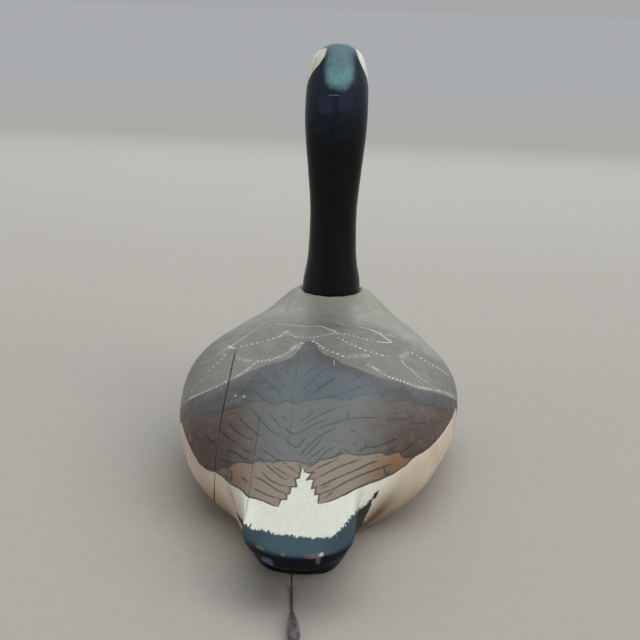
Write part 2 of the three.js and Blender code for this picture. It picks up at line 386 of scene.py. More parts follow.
TAIL_EDGE = [
    (237, 512.5), (243, 521), (245, 523.5), (250, 525), (252, 528.5), (259, 530), (268, 530.5),
    (275, 534), (288, 535), (301, 537), (317, 538), (331, 536.5), (339, 532), (345, 525.5),
    (350, 519.5), (355, 513), (361, 507.5), (366, 505), (370.5, 499.5), (375, 493.5), (379, 489.5),
]
TAIL_STRIP_LEFT = [(236.5, 513), (239, 519), (242, 526)]
TAIL_STRIP_RIGHT = [(379, 490), (376.5, 497), (372, 501), (371, 506), (368, 512), (364.5, 519), (362.5, 525)]

# Feather lines in dark paint, in the three bands of the wings

SLATE_LINES = [
    [(286, 368), (289, 375)],
    [(272, 370), (278, 378), (288, 390)],
    [(263, 378), (269, 384), (278, 392), (283, 399)],
    [(249, 387), (258, 394), (267, 401.5), (274, 405), (281, 404), (284, 400)],
    [(286, 398.5), (292, 403), (298, 403.5), (305, 400.5)],
    [(231, 388), (241, 393.5), (247, 399.5), (249, 403)],
    [(215, 391), (223, 396)],
    [(324, 360), (316, 366.6), (309, 370.4), (304.8, 376)],
    [(327.7, 367.5), (318.2, 375.2), (308.6, 383.8), (301.9, 392.4)],
    [(338.3, 377.1), (328.7, 382.8), (320.1, 388.6), (312.4, 394.3), (306.7, 398.2)],
    [(333, 377), (326, 383.5), (316, 390)],
    [(361, 375), (354, 379.5), (345, 385)],
    [(365, 374.2), (355.5, 379), (348, 383)],
    [(381.3, 379), (369.8, 383.8), (358.3, 387.6), (348.8, 391.5), (336.3, 395.3), (325.8, 397.5)],
    [(383, 395), (386, 400.5), (392, 402)],
    [(301, 347), (302.5, 353), (307, 357.5), (314, 357), (320, 352.5), (321.5, 349.5)],
    [(304.5, 347), (311, 351), (317, 349.5)],
    [(296, 358), (298, 361), (304, 363.3)],
    [(256.5, 373), (262, 377.5)],
]
COVERT_LINES = [
    [(250.5, 408), (258, 417), (267, 427), (274, 433), (279, 434), (282, 430)],
    [(267, 412), (275, 420), (282, 429)],
    [(280.5, 414), (289, 422)],
    [(238, 415), (245, 424), (253.5, 431), (260.5, 435), (266, 434.5), (267, 432)],
    [(226, 421), (235, 430), (243, 436), (250.5, 439), (253.5, 435)],
    [(217, 428), (223, 433), (231, 440), (238, 443)],
    [(205.5, 434), (210.5, 441), (215, 442), (216, 437)],
    [(283, 426), (288, 431), (295, 434), (301.5, 431), (313, 425), (330, 418)],
    [(283, 437), (290, 443.5), (297, 447.5), (301.5, 442.5), (308, 435)],
    [(240, 447.5), (247, 451.5), (254.5, 454.5)],
    [(258.5, 447.5), (268, 453.5), (278, 459.5), (284, 461)],
    [(273, 448), (280, 453.5), (287, 455.5)],
    [(256.5, 456.5), (265, 460), (274, 462)],
    [(225, 450), (235, 452.5), (243, 458), (251.5, 461)],
    [(218, 459), (226, 461), (234, 463)],
    [(314, 441), (306.5, 447.5), (300.5, 454.5), (296.5, 453.5)],
    [(325, 446.5), (316.5, 453.5), (308.5, 459.5)],
    [(314, 411), (305.5, 418), (297.5, 423)],
    [(338, 407), (320.5, 415), (303, 425)],
    [(378.5, 418), (357, 418), (334, 423), (315.5, 430)],
    [(337, 427), (320.5, 436), (305, 449)],
    [(415, 417), (402, 419), (385, 420)],
    [(426.5, 422), (417.5, 424), (409, 423)],
    [(443, 420), (436, 423), (430.5, 421), (433, 419)],
    [(400, 437), (388, 442.5), (375.5, 446.5), (361, 448.5)],
    [(416, 441.5), (408, 447.5), (402, 452.5)],
    [(397.5, 446.5), (391, 449), (386, 451)],
    [(323.5, 437), (312, 449.5), (303, 457.5)],
    [(336, 446.5), (326.5, 451.5), (318.5, 459)],
    [(344, 447.5), (335, 456), (322, 460)],
    [(367, 441.5), (363, 449.5), (355, 451.5)],
]
FLIGHT_LINES = [
    [(264, 463), (271, 469), (277, 474), (283.5, 478.5), (287, 479.5), (289.5, 478)],
    [(272.5, 466), (278, 469.5), (285.5, 474), (290.5, 476)],
    [(284, 464), (289.5, 467), (294.5, 470.5), (299, 473.5)],
    [(262, 471), (265.5, 476), (272.5, 481.5), (281, 485), (289.5, 486.5)],
    [(253, 476.5), (262, 480), (271, 486), (279, 491), (288, 494)],
    [(251, 487.5), (259, 491), (270, 496), (280.5, 498.5)],
    [(240.5, 476), (245, 480), (249, 484)],
    [(339, 458.8), (327.5, 463.5), (318.7, 467.5), (314.2, 470.5)],
    [(360, 459.5), (350, 463), (335.5, 468.5), (325, 474), (315.5, 478.5)],
    [(378.5, 461), (369.5, 463.5), (357, 469.5), (343, 475.5), (327, 482.5), (317, 487)],
    [(393, 463.5), (380.5, 468), (362.5, 474.5), (350, 480), (335.5, 488), (327, 491.5), (319, 493.8)],
    [(335, 491), (329.5, 494.5), (323, 499.5)],
    [(330, 484.5), (324.6, 487.5), (320, 489.7)],
    [(317, 463), (310.5, 466.4), (305.5, 469)],
]
SEAT_SEAM = [(291.5, 294), (290, 300), (288, 308), (285, 315)]

# Short bold marks and dents in the wings
MARKS = [
    [(347.3, 412), (348.2, 417.5)],
    [(349, 430.8), (357.5, 431.5)],
    [(350.5, 443.4), (357, 444.8)],
    [(333, 440.3), (336.5, 441)],
    [(343.5, 449.2), (347.5, 450.6)],
    [(391, 414.5), (397, 413)],
    [(385.2, 467), (384.6, 471), (386.8, 476)],
    [(389.5, 468.5), (388.7, 472.5), (386.3, 473)],
    [(229, 469), (231.5, 473.5), (232, 477), (229.5, 478.5), (226, 477), (223, 476)],
    [(227, 473.5), (228.5, 472.5), (229.5, 476)],
]

# Feather edges of the mantle: rows of pale dabs across a line, each row with its half width, the
# distance from one dab to the next, its strength and the pixels that it runs through
DAB_ROWS = [
    (1.3, 5.2, 0.9, [(239, 347), (250, 344.5), (261, 342.2), (270, 339.8), (279, 336.8)]),
    (2.4, 2.6, 0.75, [(278, 337.5), (283.5, 334), (287.5, 330.6)]),
    (1.3, 3.6, 0.9, [(289.6, 334.2), (297, 337), (305, 337.7), (315, 337), (324, 335.4), (334, 333)]),
    (2.6, 3.4, 0.8, [(303, 342.4), (296.5, 345.6), (290.5, 350.7), (284, 354.9), (274.4, 358.3),
                     (267.4, 360.4), (259.5, 361.2), (254, 363.7)]),
    (2.2, 3.0, 0.9, [(254, 363.7), (249.4, 367.4), (243.8, 372), (236.4, 376.6), (226.3, 381.7), (218, 386),
                     (210.5, 389.6), (198.5, 394.2), (189, 399)]),
    (3.2, 2.2, 0.45, [(236.4, 357.6), (243, 359.5), (252.2, 361.5)]),
    (1.2, 6.5, 0.75, [(226.5, 353.5), (220.2, 360.4), (211.5, 369.2), (202.9, 378.9), (196, 386),
                      (191.5, 392)]),
    (1.0, 5.0, 0.5, [(254, 330.8), (263.3, 327.1), (276, 324)]),
    (1.0, 5.0, 0.35, [(233.7, 334.5), (238, 332.6), (246, 331)]),
    (1.2, 4.4, 0.8, [(338, 333), (348, 334.5), (359.9, 337.8), (367.5, 339.9), (376, 341.6)]),
    (1.5, 5.4, 0.9, [(336.3, 336.8), (344.6, 341), (354.3, 345.6), (363.6, 349.8), (373.3, 352.7),
                     (383.9, 355.5), (392, 356)]),
    (1.4, 5.8, 0.9, [(311, 340.5), (315.9, 342.8), (325.2, 349), (338.9, 354.4), (345.3, 356.9), (352, 357)]),
    (4.2, 2.7, 0.5, [(352, 356.5), (362, 355.5), (371, 356)]),
    (2.6, 3.0, 0.9, [(366.8, 363.7), (371.4, 366.4), (377, 369.7), (383.5, 374)]),
    (2.2, 3.6, 0.8, [(383.5, 374), (389.5, 376.6), (395.5, 378.9), (405.7, 382.2), (411.2, 384.7),
                     (419.5, 387.2), (430.6, 388.9), (440.8, 391.4), (449.1, 394.2), (454.5, 398)]),
    (3.4, 2.6, 0.55, [(400.5, 358.5), (404.5, 355), (408.4, 351.6)]),
    (1.3, 3.4, 0.85, [(401.5, 360), (405.2, 365), (411.7, 370.1), (419.5, 377.1), (425, 380.5)]),
    (2.2, 3.2, 0.6, [(423, 379.5), (427.4, 382.2), (431.1, 385)]),
    (1.5, 4.6, 0.85, [(410, 351.8), (416.8, 355.5), (426, 361.3), (433.4, 365.5), (443.1, 371.1),
                      (449.5, 376)]),
    (1.1, 5.4, 0.5, [(402, 338), (415.4, 344.4), (424, 349.5), (435.3, 356.3), (441, 360.5)]),
]

# Single pale strokes of the mantle: half width, strength and pixels
PALE_STROKES = [
    (0.8, 0.7, [(322.4, 326.7), (329, 329), (335.8, 332.2)]),
    (0.8, 0.8, [(376, 341.6), (384, 342.4), (391, 342.6)]),
    (1.0, 0.85, [(370.5, 329.4), (375, 331.3), (380, 334.2), (385.3, 337.8), (391.5, 342)]),
    (0.8, 0.5, [(383.5, 334.1), (389, 335.5), (394.6, 336.4)]),
    (0.8, 0.5, [(358.5, 327.1), (364, 327.8), (370.5, 329.4)]),
    (0.7, 0.55, [(228.1, 347.9), (222, 351.5), (215.6, 355.8)]),
    (0.7, 0.35, [(212.4, 359), (207, 361.5), (201.3, 364.1)]),
    (0.7, 0.35, [(212.4, 347.9), (220, 344), (228.1, 339.6)]),
    (0.8, 0.6, [(232.7, 344.7), (240, 340), (246.6, 335.4)]),
    (0.7, 0.45, [(246.6, 335.4), (250, 333), (254, 330.8)]),
    (0.7, 0.4, [(276.2, 323.9), (285, 324.6), (296.6, 325.7), (306, 326.3), (317, 326.2), (322.4, 326.7)]),
    (0.7, 0.4, [(336.3, 322.5), (344.6, 324.8)]),
    (0.8, 0.8, [(227.5, 348.5), (231, 347), (234, 345)]),
    (0.8, 0.8, [(228.5, 345.5), (231.5, 347.5), (235.5, 348.5)]),
    (0.6, 0.8, [(334.5, 330.5), (336, 332.5), (337.5, 334.5)]),
    (0.6, 0.35, [(334, 360), (334, 365.5)]),
    (0.5, 0.6, [(190, 434), (190.5, 441)]),
    (0.7, 0.9, [(235.6, 395), (235.2, 396.3)]),
    (0.7, 0.5, [(243, 395.5), (245.5, 397.5)]),
]

# Chips in the paint of the wings, where the pale ground shows
FLECKS = [
    (288.6, 412.1), (293.1, 430.6), (248.4, 441.8), (305.8, 408.9), (249.7, 403.8), (371.1, 456.1),
    (392.8, 414.7), (391.5, 405.1), (432.3, 438.3), (419.6, 421), (231.5, 401.5),
]
FLECK_REACH = 0.4
FLECK_HALF_WIDTH = 0.6
FLECK_STRENGTH = 0.7

# Planks: the joints between them lie in nearly upright planes along the body, whose x is at_origin
# and changes by along for each millimetre of y and by up for each of z. The first is an open crack.
PLANK_JOINTS = [
    {"at_origin": -84.6, "along": -0.063, "up": 0.069, "back": -150, "front": 30, "half_width": 0.5,
     "depth": 2.0},
    {"at_origin": -40.7, "along": -0.021, "up": 0, "back": -246, "front": -112, "half_width": 0.35,
     "depth": 0.4},
    {"at_origin": -16.7, "along": -0.037, "up": 0, "back": -182, "front": 10, "half_width": 0.3,
     "depth": 0.15},
]
JOINT_TAPER = 30
GROOVE_FLOOR = 0.55
NEAR_JOINT = 4
GROOVE_SLACK = 0.01


# Paint layers, worked out on the chart of the body

FAR = 900
NO_STROKE = 99.0
NO_OFFSET = 9.0
NEAR_STROKE = 5.0
NEIGHBOUR_REACH = 3.5
HALFWAY_BAND = 1.0


def edge_distance(chart, edge):
    """Distance of every chart point from a line."""
    nearest = np.full(len(chart), np.inf)
    for start, end in zip(edge, edge[1:]):
        way = end - start
        away = chart - start
        t = np.clip(away @ way / max(way @ way, 1e-9), 0, 1)
        away -= t[:, None] * way
        np.minimum(nearest, np.einsum("ij,ij->i", away, away), out=nearest)
    return np.sqrt(nearest)


def inside(chart, outline):
    crossings = np.zeros(len(chart), bool)
    a, y = chart.T
    for (a0, y0), (a1, y1) in zip(outline, np.roll(outline, -1, axis=0)):
        if y0 != y1:
            crossings ^= ((y0 > y) != (y1 > y)) & (a < (a1 - a0) * (y - y0) / (y1 - y0) + a0)
    return crossings


def zone(chart, outline):
    """Distance inside a closed outline, negative outside it."""
    closed = np.vstack([outline, outline[:1]])
    distance = edge_distance(chart, closed)
    return np.where(inside(chart, outline), distance, -distance)


def ahead_of(edge, sign=1):
    """The outline of everything forwards of a line that crosses the back, or behind it."""
    left, right = edge[0], edge[-1]
    ends = [(FAR, right[1]), (FAR, sign * FAR), (-FAR, sign * FAR), (-FAR, left[1])]
    return np.vstack([edge, ends])


class Strokes:
    """How each chart point lies to the nearest of many painted lines: its offset over the line's
    half width, its distance, its length inside the line's ends, and how far along it is in dots."""

    def __init__(self, chart):
        self.chart = chart
        count = len(chart)
        self.offset = np.full(count, NO_OFFSET)
        self.distance = np.full(count, NO_STROKE)
        self.inside = np.full(count, -NO_OFFSET)
        self.dot = np.zeros(count)
        self.strength = np.zeros(count)
        self.dots = 0

    def add(self, line, half_width, strength=1.0, pitch=None):
        low, high = line.min(0) - NEAR_STROKE, line.max(0) + NEAR_STROKE
        chosen = np.flatnonzero(((self.chart > low) & (self.chart < high)).all(1))
        ways = np.diff(line, axis=0)
        lengths = np.maximum(np.linalg.norm(ways, axis=1), 1e-6)
        ways = ways / lengths[:, None]
        before = np.concatenate([[0], np.cumsum(lengths)])
        away = self.chart[chosen][:, None, :] - line[None, :-1, :]
        along = np.einsum("psk,sk->ps", away, ways)
        held = np.clip(along, 0, lengths)
        gap = np.linalg.norm(away - held[:, :, None] * ways, axis=2)
        nearest = gap.argmin(1)
        pick = (np.arange(len(chosen)), nearest)
        gap = gap[pick]
        side = away[pick][:, 0] * ways[nearest, 1] - away[pick][:, 1] * ways[nearest, 0]
        side *= self.turn(chosen, gap, side)
        place = before[nearest] + along[pick]
        closer = gap < self.distance[chosen]
        chosen, gap, side, place = chosen[closer], gap[closer], side[closer], place[closer]
        self.offset[chosen] = side / half_width
        self.distance[chosen] = gap
        self.inside[chosen] = np.minimum(place, before[-1] - place)
        self.dot[chosen] = place / pitch + self.dots if pitch else 0.5
        self.strength[chosen] = strength
        self.dots += math.ceil(before[-1] / pitch) + 1 if pitch else 0

    def turn(self, chosen, gap, side):
        """1 or -1, so that halfway to its neighbours a stroke's sides have the same sign as theirs,
        and no false line shows between them."""
        halfway = (np.abs(gap - self.distance[chosen]) < HALFWAY_BAND) & (gap < NEIGHBOUR_REACH)
        agree = np.sign(side[halfway]) * np.sign(self.offset[chosen[halfway]])
        return -1 if agree.sum() < 0 else 1

    def store(self, piece, name):
        attribute(piece, name, np.stack([self.offset, self.distance, self.inside], 1))
        attribute(piece, name + "_dot", self.dot)
        attribute(piece, name + "_strength", self.strength)


# The foremost point of each wing's lower edge, as y and share of the half section
WING_POINTS = {-1: (25, 0.60), 1: (70, 0.60)}


def wing_point(side):
    y, share = WING_POINTS[side]
    return [round_body(y, share, side)]


def wing_outline(photo):
    """The two folded wings, which meet in the middle and taper to a point on each side."""
    mantle = photo.line(MANTLE_EDGE)
    left = photo.line(WING_LEFT_EDGE)
    right = photo.line(WING_RIGHT_EDGE)
    tips = photo.line(RIGHT_TIPS[::-1] + LEFT_TIPS[::-1][1:], smooth=False)
    return np.vstack([mantle, wing_point(1), right[::-1], tips[1:-1], left[::-1], wing_point(-1)])


# The grey of the back, where it ends on the sides and the breast, as y and share of the half section
MANTLE_SIDE = [(40, 0.60), (90, 0.63), (140, 0.60), (190, 0.50), (225, 0.38), (250, 0.26), (264, 0.14)]
MANTLE_OVERLAP = 12
MANTLE_THINNING = 6
MANTLE_SIDE_STEP = 4


def mantle_outline(photo):
    left = [round_body(y, share, -1) for y, share in MANTLE_SIDE]
    right = [round_body(y, share, 1) for y, share in reversed(MANTLE_SIDE)]
    behind = photo.line(MANTLE_EDGE)[::-MANTLE_THINNING] - (0, MANTLE_OVERLAP)
    return np.vstack([through(np.vstack([left, right]), MANTLE_SIDE_STEP), behind])


TAIL_UNDERLAP = 4


def tail_outline(photo):
    """The black tail: everything behind the edge over its top and along both sides under it."""
    top = photo.line(TAIL_EDGE)
    left = photo.line(TAIL_STRIP_LEFT)
    right = photo.line(TAIL_STRIP_RIGHT)
    under_left = (-FAR, left[-1][1] - TAIL_UNDERLAP)
    under_right = (FAR, right[-1][1] - TAIL_UNDERLAP)
    return np.vstack([left[::-1], top, right, [under_right, (FAR, -FAR), (-FAR, -FAR), under_left]])


# Dotted feather edges on the sides, which the photograph doesn't show: rows of scallops
SIDE_ROWS = [(62, 0.50, 0.60), (100, 0.36, 0.60), (140, 0.34, 0.58), (180, 0.34, 0.50), (214, 0.30, 0.40)]
SCALLOP_REACH = 20
SCALLOP_DEPTH = 15
SCALLOP_TRIM = 0.1
SCALLOP_POINTS = 24


def side_scallops():
    lines = []
    for side in (-1, 1):
        for row, (y, first, last) in enumerate(SIDE_ROWS):
            low, high = round_body(y, first, 1)[0], round_body(y, last, 1)[0]
            middle = low + (row % 2) * SCALLOP_REACH
            while middle < high:
                angle = np.linspace(SCALLOP_TRIM, math.pi - SCALLOP_TRIM, SCALLOP_POINTS)
                across = side * (middle + SCALLOP_REACH * np.cos(angle))
                lines.append(np.stack([across, y - SCALLOP_DEPTH * np.sin(angle)], 1))
                middle += 2 * SCALLOP_REACH
    return lines


INK_HALF_WIDTH = 0.68
MARK_HALF_WIDTH = 1.5
OUTLINE_HALF_WIDTH = 0.7
TIPS_STRENGTH = 0.95

# The dark lines inside the wings in the order in which they are painted, with half width and strength
INK_LINES = [
    (SLATE_LINES, INK_HALF_WIDTH, 0.75),
    (COVERT_LINES, INK_HALF_WIDTH, 0.8),
    (FLIGHT_LINES, INK_HALF_WIDTH, 0.9),
    (MARKS, MARK_HALF_WIDTH, 1.0),
    ([SEAT_SEAM], INK_HALF_WIDTH, 0.4),
    ([SLATE_EDGE], INK_HALF_WIDTH, 0.55),
    ([COVERT_EDGE], INK_HALF_WIDTH, 0.8),
]


def dark_strokes(photo, chart):
    ink = Strokes(chart)
    for lines, half_width, strength in INK_LINES:
        for pixels in lines:
            ink.add(photo.line(pixels), half_width, strength)
    for pixels in (LEFT_TIPS, RIGHT_TIPS):
        ink.add(photo.line(pixels, smooth=False), OUTLINE_HALF_WIDTH, TIPS_STRENGTH)
    ink.add(np.vstack([wing_point(-1), photo.line(WING_LEFT_EDGE)]), OUTLINE_HALF_WIDTH)
    ink.add(np.vstack([photo.line(WING_RIGHT_EDGE), wing_point(1)]), OUTLINE_HALF_WIDTH)
    return ink


SCALLOP_DAB = 1.2
SCALLOP_PITCH = 5.2
SCALLOP_STRENGTH = 0.7


def pale_strokes(photo, chart):
    pale = Strokes(chart)
    for half_width, pitch, strength, pixels in DAB_ROWS:
        pale.add(photo.line(pixels), half_width, strength, pitch)
    for line in side_scallops():
        pale.add(line, SCALLOP_DAB, SCALLOP_STRENGTH, SCALLOP_PITCH)
    for half_width, strength, pixels in PALE_STROKES:
        pale.add(photo.line(pixels), half_width, strength)
    for px, py in FLECKS:
        fleck = photo.line([(px - FLECK_REACH, py), (px + FLECK_REACH, py)])
        pale.add(fleck, FLECK_HALF_WIDTH, FLECK_STRENGTH)
    return pale


def joint_taper(joint, y):
    """1 along a plank joint, falling to 0 at its ends."""
    inside_ends = np.minimum(y - joint["back"], joint["front"] - y)
    return smooth_step(inside_ends / JOINT_TAPER)


def from_joint(joint, x, y, z):
    """How far a place lies to the right of a plank joint."""
    return x - joint["at_origin"] - joint["along"] * y - joint["up"] * z


def cut_joints(piece):
    """Cuts the plank joints into the body as narrow grooves."""
    shape = bmesh.new()
    shape.from_mesh(piece.data)
    for joint in PLANK_JOINTS:
        width = joint["half_width"]
        facing = Vector((1, -joint["along"], -joint["up"]))
        for share in (-1, -GROOVE_FLOOR, GROOVE_FLOOR, 1):
            near = []
            for f in shape.faces:
                x, y, z = f.calc_center_median() / MM
                if joint["back"] < y < joint["front"] and abs(from_joint(joint, x, y, z)) < NEAR_JOINT:
                    near.append(f)
            parts = {part for f in near for part in (*f.verts, *f.edges, f)}
            plane = (joint["at_origin"] + share * width) * MM
            bmesh.ops.bisect_plane(shape, geom=list(parts), dist=1e-6, plane_co=(plane, 0, 0),
                                   plane_no=facing)
    shape.normal_update()
    sunk = []
    for joint in PLANK_JOINTS:
        floor = joint["half_width"] * GROOVE_FLOOR + GROOVE_SLACK
        for v in shape.verts:
            x, y, z = v.co / MM
            if z > 0 and abs(from_joint(joint, x, y, z)) < floor:
                sunk.append((v, v.normal * joint["depth"] * joint_taper(joint, y)))
    for v, step in sunk:
        v.co -= step * MM
    shape.to_mesh(piece.data)
    shape.free()


def joint_field(points):
    """Offset from the nearest plank joint over its half width, and how open the joint is there."""
    offset, opening, depth = (np.full(len(points), value) for value in (NO_OFFSET, 0.0, 0.0))
    for joint in PLANK_JOINTS:
        across = from_joint(joint, *points.T) / joint["half_width"]
        nearer = np.abs(across) < np.abs(offset)
        offset[nearer] = across[nearer]
        opening[nearer] = joint_taper(joint, points[nearer, 1])
        depth[nearer] = min(joint["depth"], 1)
    return np.stack([offset, opening, depth], 1)


# Soft patches over the paint, dark, pale and brown, mostly painted shade and sheen: pixel, reach across and
# along, strength
# Painted shade, darkest under the neck's seat
PAINTED_SHADE_PATCHES = [((333, 325), 30, 11, 1.0), ((310, 348), 9, 9, 0.9), ((205, 408), 30, 12, 0.4)]
# Painted sheen on the right of the grey back
SHEEN_PATCHES = [((425, 345), 30, 20, 0.8), ((396, 330), 16, 14, 0.4)]
# Brown patches low on the flanks beside the tail: painted shade, with brown staining in the paint on the left
SHADE_AND_STAIN_PATCHES = [((370.5, 520), 22, 11, 1.0), ((386, 516), 15, 12, 0.3), ((233, 499), 5, 8, 0.35)]


def patch_field(photo, chart, patches):
    total = np.zeros(len(chart))
    for pixel, across, along, strength in patches:
        a, y = photo.chart(pixel)
        total += strength * np.exp(-((chart[:, 0] - a) / across) ** 2 - ((chart[:, 1] - y) / along) ** 2)
    return total


def make_body():
    points, chart = body_grid()
    sides = 2 * (len(column_shares()) - 1)
    faces = loft_faces(len(ring_places()), sides)
    photo = PhotoRays(points, faces)
    piece = add_mesh("painted_body", points, faces)
    attribute(piece, "chart", chart)
    cut_joints(piece)

    count = len(piece.data.vertices)
    chart = np.empty(count * 3, np.float32)
    piece.data.attributes["chart"].data.foreach_get("vector", chart)
    chart = chart.reshape(-1, 3)[:, :2].astype(float)
    points = np.empty(count * 3, np.float32)
    piece.data.vertices.foreach_get("co", points)
    points = points.reshape(-1, 3) / MM

    attribute(piece, "wing", zone(chart, wing_outline(photo)))
    attribute(piece, "mantle", zone(chart, mantle_outline(photo)))
    attribute(piece, "tail", zone(chart, tail_outline(photo)))
    attribute(piece, "slate", zone(chart, ahead_of(photo.line(SLATE_EDGE))))
    attribute(piece, "covert", zone(chart, ahead_of(photo.line(COVERT_EDGE))))
    dark_strokes(photo, chart).store(piece, "ink")
    pale_strokes(photo, chart).store(piece, "pale")
    attribute(piece, "joint", joint_field(points))
    for name, patches in (("painted_shade", PAINTED_SHADE_PATCHES), ("sheen", SHEEN_PATCHES), ("shade_and_stain", SHADE_AND_STAIN_PATCHES)):
        attribute(piece, name, patch_field(photo, chart, patches))
    finish_piece(piece, ["body"], body_paint())


# Materials

def colour(red, green, blue):
    """A display colour, 0 to 255, as Blender's linear colour."""
    return tuple((c / 255 / 12.92 if c < 10.31 else ((c / 255 + 0.055) / 1.055) ** 2.4)
                 for c in (red, green, blue)) + (1.0,)


class Paint:
    """A material whose node tree is built by short calls. Places are in millimetres."""

    def __init__(self, name):
        self.material = bpy.data.materials.new(name)
        self.material.use_nodes = True
        self.tree = self.material.node_tree
        self.shader = self.tree.nodes["Principled BSDF"]
        place = self.tree.nodes.new("ShaderNodeTexCoord").outputs["Object"]
        self.place = self.scaled(place, (1 / MM,) * 3)

    def node(self, kind, settings=(), **inputs):
        node = self.tree.nodes.new("ShaderNode" + kind)
        for name, value in settings:
            setattr(node, name, value)
        for name, value in inputs.items():
            self.put(node.inputs[name], value)
        return node

    def put(self, socket, value):
        if isinstance(value, bpy.types.NodeSocket):
            self.tree.links.new(value, socket)
        else:
            socket.default_value = value

    def set(self, name, value):
        self.put(self.shader.inputs[name], value)

    def math(self, operation, *values, clamp=False):
        node = self.node("Math", [("operation", operation), ("use_clamp", clamp)])
        for socket, value in zip(node.inputs, values):
            self.put(socket, value)
        return node.outputs[0]

    def times(self, *values, clamp=False):
        product = values[0]
        for value in values[1:]:
            product = self.math("MULTIPLY", product, value, clamp=clamp)
        return product

    def less(self, value, taken):
        return self.math("SUBTRACT", value, taken)

    def size(self, value):
        return self.math("ABSOLUTE", value)

    def moved(self, value, noise, reach):
        """value with up to reach times the noise added."""
        return self.math("MULTIPLY_ADD", noise, reach, value)

    def distance(self, x, y):
        squares = self.math("ADD", self.times(x, x), self.times(y, y))
        return self.math("SQRT", squares)

    def scaled(self, vector, scale):
        node = self.node("VectorMath", [("operation", "MULTIPLY")])
        self.put(node.inputs[0], vector)
        self.put(node.inputs[1], scale)
        return node.outputs[0]

    def field(self, name):
        return self.node("Attribute", [("attribute_name", name)]).outputs["Fac"]

    def fields(self, name):
        node = self.node("Attribute", [("attribute_name", name)])
        return self.parts(node.outputs["Vector"])

    def parts(self, vector):
        return self.node("SeparateXYZ", Vector=vector).outputs[:3]

    def ramp(self, value, low, high, first=0.0, last=1.0):
        """value from low to high, eased and turned into first to last."""
        node = self.node("MapRange", [("interpolation_type", "SMOOTHSTEP")], Value=value)
        for name, number in (("From Min", low), ("From Max", high), ("To Min", first), ("To Max", last)):
            self.put(node.inputs[name], number)
        return node.outputs["Result"]

    def noise(self, size, stretch=(1, 1, 1), detail=2.0, roughness=0.5, place=None):
        """Noise from 0 to 1 whose features are about size millimetres, longer where stretched."""
        vector = self.scaled(place or self.place, tuple(1 / size / s for s in stretch))
        node = self.node("TexNoise", Vector=vector, Scale=1.0, Detail=detail, Roughness=roughness)
        return node.outputs["Fac"]

    def mix(self, share, first, second):
        node = self.node("Mix", [("data_type", "RGBA")])
        for name, value in (("Factor_Float", share), ("A_Color", first), ("B_Color", second)):
            self.put(next(s for s in node.inputs if s.identifier == name), value)
        return next(s for s in node.outputs if s.identifier == "Result_Color")

    def bump(self, height, distance, strength=1.0, normal=None):
        node = self.node("Bump", Strength=strength, Distance=distance * MM, Height=height)
        if normal:
            self.put(node.inputs["Normal"], normal)
        return node.outputs["Normal"]

    def finish(self, base, roughness, normal=None):
        self.set("Base Color", base)
        self.set("Roughness", roughness)
        if normal:
            self.set("Normal", normal)
        return self.material


CREAM = colour(224, 210, 192)
CREAM_DEEP = colour(208, 188, 166)
# Cream darkened low on the flanks, towards the floor: painted shade
CREAM_LOW_SHADE = colour(166, 144, 112)
# Brown of the painted shade low beside the tail, and of the staining there
SHADE_AND_STAIN_BROWN = colour(92, 70, 34)
RUMP_WHITE = colour(219, 221, 208)
RUMP_SHADE = colour(214, 214, 197)
# Brighter white on the rump's slopes: painted light
RUMP_SLOPE_LIGHT = colour(246, 247, 234)
# Darker middle of the seat: painted reflection of the black neck
SEAT_MIDDLE_REFLECTION = colour(134, 136, 124)
SEAT_SIDE = colour(145, 144, 128)
# Pale band round the neck's foot: painted highlight
SEAT_RING_HIGHLIGHT = colour(148, 152, 136)
MANTLE_GREY = colour(125, 124, 115)
MANTLE_DARK = colour(114, 113, 107)
# Grey of the painted shade on the back
PAINTED_SHADE_GREY = colour(96, 97, 91)
# Paler grey of the painted sheen on the back
SHEEN_GREY = colour(158, 156, 149)
SLATE_SIDE = colour(57, 54, 53)
SLATE_EDGE_DARK = colour(84, 80, 82)
# Teal-grey middle of the slate band, partly the paint's own colour and partly painted sheen
SLATE_TEAL_AND_SHEEN = colour(91, 101, 104)
COVERT_SIDE = colour(82, 67, 59)
# Teal-grey middle of the coverts, partly painted sheen
COVERT_TEAL_AND_SHEEN = colour(110, 112, 109)
FLIGHT = colour(142, 128, 112)
FLIGHT_SIDE = colour(138, 105, 77)
WARM_TINT = colour(124, 106, 104)
# Patchy teal of the coverts' middle, partly painted sheen
TEAL_TINT = colour(78, 104, 106)
# Blue-grey on the top of the black tail: painted sheen
TAIL_TOP_SHEEN = colour(56, 79, 88)
TAIL_TOP_SIDE_SHEEN = colour(50, 66, 76)
TAIL_BLACK = colour(6, 12, 24)
# Pale blue of the painted glint on the tail's rear face
TAIL_GLINT = colour(92, 104, 128)
INK_SIDE = colour(36, 34, 42)
# Teal ink in the wings' middle, partly painted sheen
INK_TEAL_AND_SHEEN = colour(56, 78, 88)
INK_FLIGHT = colour(74, 72, 70)
PALE_DAB = colour(212, 216, 204)
BARE_WOOD = colour(134, 112, 106)
CRACK_BLACK = colour(14, 12, 12)
CRACK_EDGE = colour(150, 142, 128)
FOOT_BLACK = colour(10, 11, 15)

# Places on the tail's rear face: to the right, height, and reach to the sides and upwards
# Painted glint on the left of the tail's rear face
GLINT_PATCH = (-14.5, 44.8, 5.2, 4.2)
BARE_PATCHES = [(-20, 53.2, 3.6, 0.9), (-3, 53, 1.8, 0.9), (18, 52.6, 7, 1.6), (21.5, 49.8, 2.0, 3.6)]
CHIPPED_PATCH = (23.5, 53, 1.9, 1.2)


